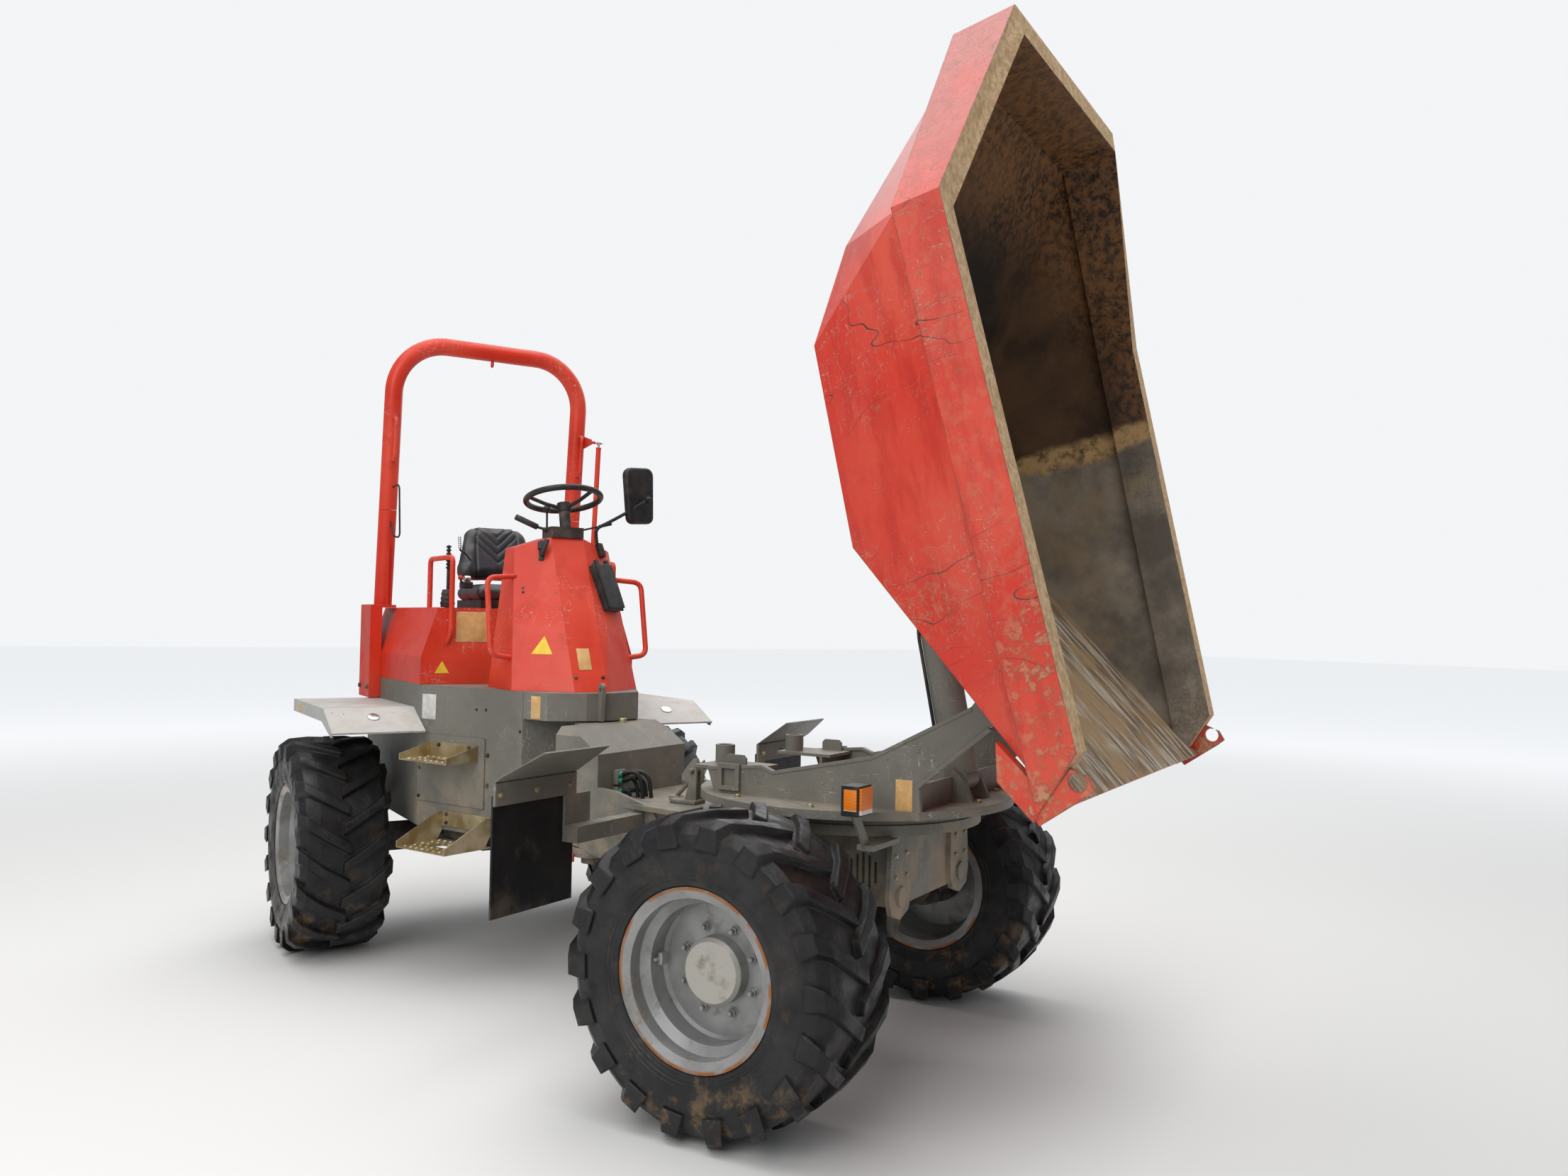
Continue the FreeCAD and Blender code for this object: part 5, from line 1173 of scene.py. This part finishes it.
rear_bolts = []
plugs = []
for side in (-1, 1):
    # distances along the hull's side, heights, CAD part, size
    for alongs, heights, node, size in (((0.489,), (0.996, 0.862), "rear_chassis", 0.010),
                                        ((0.020,), (0.906, 0.775), "locker_doors", 0.009),
                                        ((0.165, 0.375), (1.022,), "steps", 0.009),
                                        ((0.222, 0.498), (0.670, 0.708), "steps", 0.009)):
        places = [on_hull(side, along, height, node) for along in alongs for height in heights]
        rear_bolts += heads(places, size)
    rear_bolts += heads([touch("console", REAR, (1, side * 0.064, 1.353), BACKWARDS)], 0.0085)
    rear_bolts += heads([touch("hoop_base", REAR, (x, side * 0.9, 1.240), (0, -side, 0))
                         for x in (-1.780, -1.620)], 0.013)
    for along, height in ((0.406, 1.195), (0.470, 1.197), (0.695, 1.115)):
        at, normal = on_hull(side, along, height)
        plugs.append(add_rod(at + normal * HEAD_GAP, at + normal * 0.0016, 0.007, 16))
rear_bolts += heads([touch("console", REAR, (1, -0.215, height), BACKWARDS) for height in (1.728, 1.748)],
                    0.006)
front_bolts = []
for side in (-1, 1):
    front_bolts += heads([touch("flap_carriers", FRONT, (0.6, side * y, 1.003), BACKWARDS)
                          for y in (0.676, 0.855, 1.036)], 0.011)
    front_bolts += heads([touch("front_chassis", FRONT, (1.8, side * y, z), BACKWARDS)
                          for y in (0.225, 0.312) for z in (0.735, 0.810)], 0.009)
front_bolts += heads([touch("front_chassis", FRONT, (0.103, 0.0595, 1.4), DOWNWARDS)], 0.0215)
turn_bolts = []
for index in range(RING_BOLTS):
    turn = math.radians(-80 + 360 / RING_BOLTS * index)
    x = 1.275 + RING_RADIUS * math.cos(turn)
    y = RING_RADIUS * math.sin(turn)
    # the two that would stand under the tipping arms are left out
    if abs(abs(y) - 0.405) > 0.04:
        turn_bolts += heads([touch("turret", FRONT, (x, y, 1.02), DOWNWARDS)], 0.0125)
for name, bolts, home, finish in (("rear_bolts", rear_bolts, ON_REAR, iron),
                                  ("front_bolts", front_bolts, ON_FRONT, zinc),
                                  ("turntable_bolts", turn_bolts, ON_TURNTABLE, zinc)):
    settle(join_all(bolts), name, home, ("zinc", finish))
    print(name, len(bolts))
settle(join_all(plugs), "hull_plugs", ON_REAR, BLACK_PLASTIC)

# %% [markdown]
# The treads of the steps are pressed with rows of raised rings, so that a muddy boot grips. One ring is a
# torus, half sunk. The rest are laid out in rows, every second row shifted, and the middle is left free for
# the cut-out.

# %% Rings on the treads
RING_STEP = 0.039
rings = []
for side in (-1, 1):
    # start along the hull, height of the tread's top, reach of the tread, rows
    for start, height, reach, rows in ((0.100, 0.967, 0.175, 3), (0.195, 0.595, 0.255, 5)):
        for row in range(rows):
            out = 0.040 + (reach - 0.070) * row / (rows - 1)
            for column in range(8):
                shift = 0.026 + RING_STEP * column + (0.008 if row % 2 else 0.0)
                if abs(shift - 0.165) < 0.075 and abs(out - reach / 2) < 0.040:
                    continue
                place = beside_hull(side, start + shift, out, height)
                bpy.ops.mesh.primitive_torus_add(location=place, major_radius=0.0085, minor_radius=0.0032,
                                                 major_segments=14, minor_segments=6)
                rings.append(bpy.context.object)
settle(join_all(rings), "tread_rings", ON_REAR, ZINC)
print("rings on the treads:", len(rings))

# %% [markdown]
# Hoses are curves with a round section, turned into meshes. On the front deck they leave a connector block
# on the hood's foot and dive into the deck.

# %% Deck hoses
hoses = []
collars = []
blocks = [add_block((0.2775, -0.176, 0.966), (0.026, 0.056, 0.060), 0.003),
          add_block((0.2775, -0.176, 0.909), (0.026, 0.056, 0.036), 0.003)]
# sideways place and height of each connector, and where its hose enters the deck
for y, z, end_x, end_y in ((-0.160, 0.980, 0.400, -0.128), (-0.190, 0.980, 0.385, -0.165),
                           (-0.160, 0.953, 0.362, -0.112), (-0.190, 0.953, 0.350, -0.150),
                           (-0.160, 0.909, 0.345, -0.090), (-0.190, 0.909, 0.335, -0.185)):
    root = Vector((0.290, y, z))
    lift = 0.018 if z > 0.93 else 0.008
    collars.append(add_rod(root, root + Vector((0.016, 0, 0)), 0.0120, 16))
    hoses.append(add_hose([root + Vector((0.014, 0, 0)), root + Vector((0.045, 0.004, lift)),
                           Vector((end_x - 0.010, end_y, z - 0.002)), Vector((end_x, end_y, 0.915)),
                           Vector((end_x + 0.002, end_y + 0.004, 0.880))], 0.0085))
green = speckled("green_collar", (0.02, 0.20, 0.12), (0.04, 0.30, 0.18), 0.45, 20.0, 0.0003, 0.0, 0.35)
settle(join_all(hoses), "deck_hoses", ON_FRONT, RUBBER)
settle(join_all(collars), "deck_collars", ON_FRONT, ("black_plastic", green))
settle(join_all(blocks), "deck_connectors", ON_FRONT, ("zinc", grey_front))
print("deck hoses:", len(hoses))

# %% [markdown]
# One more hose runs up the tipping ram and swings with it. The ram's own joint says where it starts and
# which way it points, so the hose is drawn by distances along the ram and out from its middle.

# %% Hose along the tipping ram
ram_foot = Vector(joints["tip_ram_pivot"]["pos_m"])
ram_way = Vector(joints["tip_ram_stroke"]["axis"]).normalized()
ram_side = front_left.normalized()
ram_back = ram_way.cross(ram_side).normalized()
if ram_back.dot(FRONT.to_3x3() @ Vector((1, 0, 0))) > 0:
    ram_back = -ram_back
ram_out = (ram_back * 0.79 - ram_side * 0.61).normalized()
ram_points = [ram_foot + ram_way * along + ram_out * out for along, out in (
    (0.050, 0.056), (0.080, 0.072), (0.200, 0.071), (0.450, 0.071), (0.560, 0.072), (0.600, 0.058))]
ram_hose = settle(add_hose(ram_points, 0.0065), "ram_hose", (Matrix(), "tip_ram_tube"), RUBBER)
print("hose on the ram:", len(ram_hose.data.vertices), "points")

# %% [markdown]
# Round the steering wheel there are a fat stalk, a thin one and a small lever with a ball. They are straight
# rods from point to point, because the real ones are bought-in switches with plain round sections.

# %% Stalks at the steering column


def add_ball(at, radius):
    bpy.ops.mesh.primitive_uv_sphere_add(segments=24, ring_count=14, radius=radius, location=at)
    return bpy.context.object


stalks = [
    add_rod((-0.436, -0.070, 2.020), (-0.460, -0.121, 2.036), 0.0065),
    add_rod((-0.457, -0.116, 2.034), (-0.503, -0.208, 2.080), 0.0140),
    add_rod((-0.440, -0.074, 2.020), (-0.448, -0.092, 2.026), 0.0110, 8),
    add_rod((-0.410, 0.070, 2.024), (-0.400, 0.170, 2.050), 0.0045),
    add_rod((-0.400, 0.165, 2.049), (-0.400, 0.228, 2.066), 0.0080),
    add_rod((-0.548, -0.036, 1.984), (-0.555, -0.036, 2.118), 0.0050),
    add_ball((-0.556, -0.036, 2.130), 0.0190),
]
settle(join_all(stalks), "column_stalks", ON_REAR, BLACK_PLASTIC)
print("stalks made from", len(stalks), "pieces")

# %% [markdown]
# The mirror hangs on a bent arm: a clamp on the console, a bend, and a ball joint at the shell. Shell and
# glass have outlines of the same kind as the seat's back, and both are turned by the same matrix.

# %% Mirror
MIRROR_AT = (-0.368, 0.352, 2.204)
MIRROR_PLACE = (Matrix.Translation(MIRROR_AT) @ Matrix.Rotation(math.radians(14), 4, "Z")
                @ Matrix.Rotation(0.07, 4, "X"))
mirror_parts = [
    add_hose([(-0.400, 0.158, 1.962), (-0.402, 0.152, 2.000), (-0.402, 0.152, 2.040), (-0.385, 0.205, 2.068),
              (-0.350, 0.300, 2.128), (-0.322, 0.378, 2.184)], 0.0080, 5),
    add_rod((-0.330, 0.382, 2.186), (-0.318, 0.382, 2.186), 0.0190),
    add_ball((-0.318, 0.380, 2.185), 0.0145),
]
at, normal = touch("console", REAR, (1, 0.166, 1.930), BACKWARDS)
clamp = add_block((0, 0, 0.013), (0.030, 0.070, 0.026), 0.005)
mirror_parts.append(lay_on(clamp, at + normal * FACE_GAP, normal))
mirror_stay = settle(join_all(mirror_parts), "mirror_stay", ON_REAR, BLACK_PLASTIC)
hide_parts("mirror_arm")
shell = add_slab([(0, y, z - 0.135) for y, z in pad_outline(0.076, 0.084, 0.270, 0.034, 0.040)], 0.042, 0.014)
shell.matrix_world = MIRROR_PLACE
settle(shell, "mirror_shell", ON_REAR, BLACK_PLASTIC)
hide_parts("mirror_head")
silvered = speckled("mirror_glass", (0.72, 0.74, 0.75), (0.80, 0.81, 0.82), 0.04, 9.0, 0.00005, 1.0, 0.10)
glass = add_slab([(-0.0218, y, z - 0.122) for y, z in pad_outline(0.068, 0.075, 0.244, 0.028, 0.034)],
                 0.0018, 0.0005)
glass.matrix_world = MIRROR_PLACE
settle(glass, "mirror_glass", ON_REAR, ("bright_rod", silvered))
print("mirror", [round(part, 3) for part in shell.dimensions])

# %% [markdown]
# Two tubes stand beside the console and two beside the seat, to hold on to when climbing up. Each is a bent
# pipe, so it is given as a few corners and the size of its bends, and a smooth curve goes through them.

# %% Hand rails
RAIL_RADIUS = 0.0125
CONSOLE_RAIL = [(-0.300, 0.258, 1.430), (-0.300, 0.376, 1.446), (-0.375, 0.376, 1.789),
                (-0.400, 0.236, 1.800)]
SEAT_RAIL = [(-1.047, 0.445, 1.654), (-1.047, 0.445, 1.892), (-0.785, 0.412, 1.895), (-0.785, 0.412, 1.535),
             (-0.822, 0.420, 1.487)]


def bent_points(corners, bend):
    """Points for a tube that runs straight between its corners and turns in a bend of the given size."""
    points = [Vector(corners[0])]
    for before, corner, after in zip(corners, corners[1:], corners[2:]):
        corner = Vector(corner)
        points.append(corner + (Vector(before) - corner).normalized() * bend)
        points.append(corner)
        points.append(corner + (Vector(after) - corner).normalized() * bend)
    return points + [Vector(corners[-1])]


rails = []
for side in (-1, 1):
    for corners, bend in ((CONSOLE_RAIL, 0.080), (SEAT_RAIL, 0.055)):
        placed = [(x, side * y, z) for x, y, z in corners]
        rails.append(add_hose(bent_points(placed, bend), RAIL_RADIUS, 6))
hand_rails = settle(join_all(rails), "hand_rails", ON_REAR, RED_PAINT, 60)
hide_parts("grab_rails")
print("hand rails:", len(rails))

# %% [markdown]
# Beside the seat there are a bent lever, a lever block with a red knob, and a chrome adjuster with a knurled
# sleeve. The knurl is six short collars in a row, because at this size only its steps catch the light.

# %% Levers beside the seat
COLLARS = 6
seat_levers = [
    add_hose([(-1.150, -0.215, 1.900), (-1.130, -0.250, 1.938), (-1.095, -0.290, 1.944),
              (-1.083, -0.290, 1.956)], 0.0045),
    add_block((-1.040, -0.268, 1.770), (0.075, 0.050, 0.034), 0.006),
    add_hose([(-1.030, -0.290, 1.780), (-1.028, -0.300, 1.790), (-1.027, -0.300, 1.800)], 0.006),
]
settle(join_all(seat_levers), "seat_levers", ON_REAR, BLACK_PLASTIC)
bright = [add_rod((-1.084, -0.290, 1.952), (-1.099, -0.290, 2.016), 0.0055)]
for index in range(COLLARS):
    low = Vector((-1.0855 - 0.0024 * index, -0.290, 1.957 + 0.0100 * index))
    bright.append(add_rod(low, low + Vector((-0.0012, 0, 0.0052)), 0.0085, 16))
bright.append(add_rod((-1.082, -0.236, 1.803), (-1.078, -0.268, 1.803), 0.0165, 12))
settle(join_all(bright), "seat_bright_parts", ON_REAR, ("bright_rod", chrome))
settle(add_ball((-1.027, -0.302, 1.806), 0.0120), "seat_red_knob", ON_REAR, RED_PAINT)
print("parts beside the seat:", len(seat_levers) + len(bright) + 1)

# %% [markdown]
# A plastic catch holds the console's lid: a foot, a body and a grip that stands off a little. It is drawn
# flat and laid on the slanted face as one piece.

# %% Console's catch
catch_parts = [add_block((0, 0, 0.003), (0.024, 0.098, 0.006), 0.002),
               add_block((0, 0.018, 0.016), (0.034, 0.040, 0.022), 0.005),
               add_block((0.014, 0.004, 0.034), (0.022, 0.078, 0.014), 0.005)]
catch_parts[-1].rotation_euler = (0.25, 0, -0.35)
at, normal = touch("console", REAR, (1, -0.122, 1.921), BACKWARDS)
catch = lay_on(join_all(catch_parts), at + normal * FACE_GAP, normal)
settle(catch, "console_catch", ON_REAR, BLACK_PLASTIC)
print("catch made from", len(catch_parts), "blocks")

# %% [markdown]
# The lowered skip rests on two zinc sleeves. A red bar beside the joint is pinned across it for transport,
# and here it is stowed. A latch between two cheeks locks the turntable for the road. Sleeves are tubes, and
# the flat plates of the lock are outlines given thickness.

# %% Sleeves and locks
CHEEK = [(0.600, 0.900), (0.655, 0.900), (0.655, 1.034), (0.634, 1.040), (0.622, 0.980)]
LATCH = [(0.571, 0.972), (0.569, 0.992), (0.584, 1.018), (0.606, 1.044), (0.624, 1.062), (0.638, 1.064),
         (0.646, 1.048), (0.640, 1.010), (0.630, 0.985), (0.606, 0.962)]


def add_sleeve(at, inner, outer, tall):
    """A short tube with rounded lips: a cylinder without ends, given a wall."""
    bpy.ops.mesh.primitive_cylinder_add(vertices=40, radius=outer, depth=tall, end_fill_type="NOTHING",
                                        location=Vector(at) + Vector((0, 0, tall / 2)))
    sleeve = bpy.context.object
    apply_modifier(sleeve, "SOLIDIFY", thickness=outer - inner, offset=-1)
    apply_modifier(sleeve, "BEVEL", width=0.0012, segments=2, limit_method="ANGLE")
    return sleeve


def add_flat(corners, y, thick):
    """An upright plate, from its corners (x, z)."""
    return add_slab([(x, y + thick / 2, z) for x, z in corners], thick, 0.0015)


sleeves = [add_sleeve((0.849, side * 0.262, 1.0776), 0.0264, 0.0348, 0.054) for side in (-1, 1)]
settle(join_all(sleeves), "rest_sleeves", ON_TURNTABLE, ZINC)
lock_bar = [
    add_block((-0.110, -0.1045, 0.586), (0.250, 0.031, 0.036), 0.004),
    add_rod((-0.020, -0.1045, 0.560), (-0.020, -0.1045, 0.626), 0.008),
    add_rod((-0.205, -0.1045, 0.560), (-0.205, -0.1045, 0.626), 0.008),
]
settle(join_all(lock_bar), "lock_bar", ON_REAR, RED_PAINT)
slewing_lock = [
    add_block((0.600, -0.150, 0.8935), (0.120, 0.080, 0.016), 0.003),
    add_flat(CHEEK, -0.128, 0.012),
    add_flat(CHEEK, -0.172, 0.012),
    add_flat(LATCH, -0.150, 0.018),
    add_rod((0.636, -0.108, 1.018), (0.636, -0.192, 1.018), 0.010),
    add_rod((0.512, -0.104, 0.898), (0.622, -0.150, 0.985), 0.0090),
    add_block((0.512, -0.104, 0.8945), (0.052, 0.036, 0.018), 0.004),
]
settle(join_all(slewing_lock), "slewing_lock", ON_FRONT, ("zinc", grey_front))
print("sleeves:", len(sleeves), "- parts of the two locks:", len(lock_bar) + len(slewing_lock))

# %% [markdown]
# The lamps have a lens on their outer side too. A hook is welded under the hoop's top, and an oval reflector
# lies on each mudguard: a disc, stretched and laid on by a ray.

# %% Side lenses, hook and reflectors
HOOP_LEAN = math.radians(6)
side_lenses = [add_block((1.5985, side * 0.6774, 1.045), (0.046, 0.0036, 0.068), 0.0012) for side in (-1, 1)]
settle(join_all(side_lenses), "lamp_side_lenses", ON_FRONT, ("lamp_lens", lens))
hook_x = -1.695 + (3.062 - 1.655) * math.tan(HOOP_LEAN)
bpy.ops.mesh.primitive_torus_add(location=(hook_x, 0, 3.0025), rotation=(math.pi / 2, 0, 0),
                                 major_radius=0.016, minor_radius=0.0045,
                                 major_segments=28, minor_segments=10)
settle(bpy.context.object, "hoop_hook", (REAR, "hoop"), RED_PAINT)
reflectors = []
for side in (-1, 1):
    bpy.ops.mesh.primitive_cylinder_add(vertices=36, radius=0.027, depth=0.005, location=(0, 0, 0.0025))
    oval = bpy.context.object
    apply_modifier(oval, "BEVEL", width=0.0015, segments=2, limit_method="ANGLE")
    oval.scale = (1.0, 1.15, 1.0)
    at, normal = touch("rear_fenders", REAR, (-0.829, side * 0.748, 1.4), DOWNWARDS)
    reflectors.append(lay_on(oval, at + normal * FACE_GAP, normal))
settle(join_all(reflectors), "fender_reflectors", ON_REAR, ("silver_paint", chrome))
meshes = [each for each in bpy.data.objects if each.type == "MESH"]
print("pieces made in this lesson:", len(meshes) - len(frame["nodes"]) - 1)
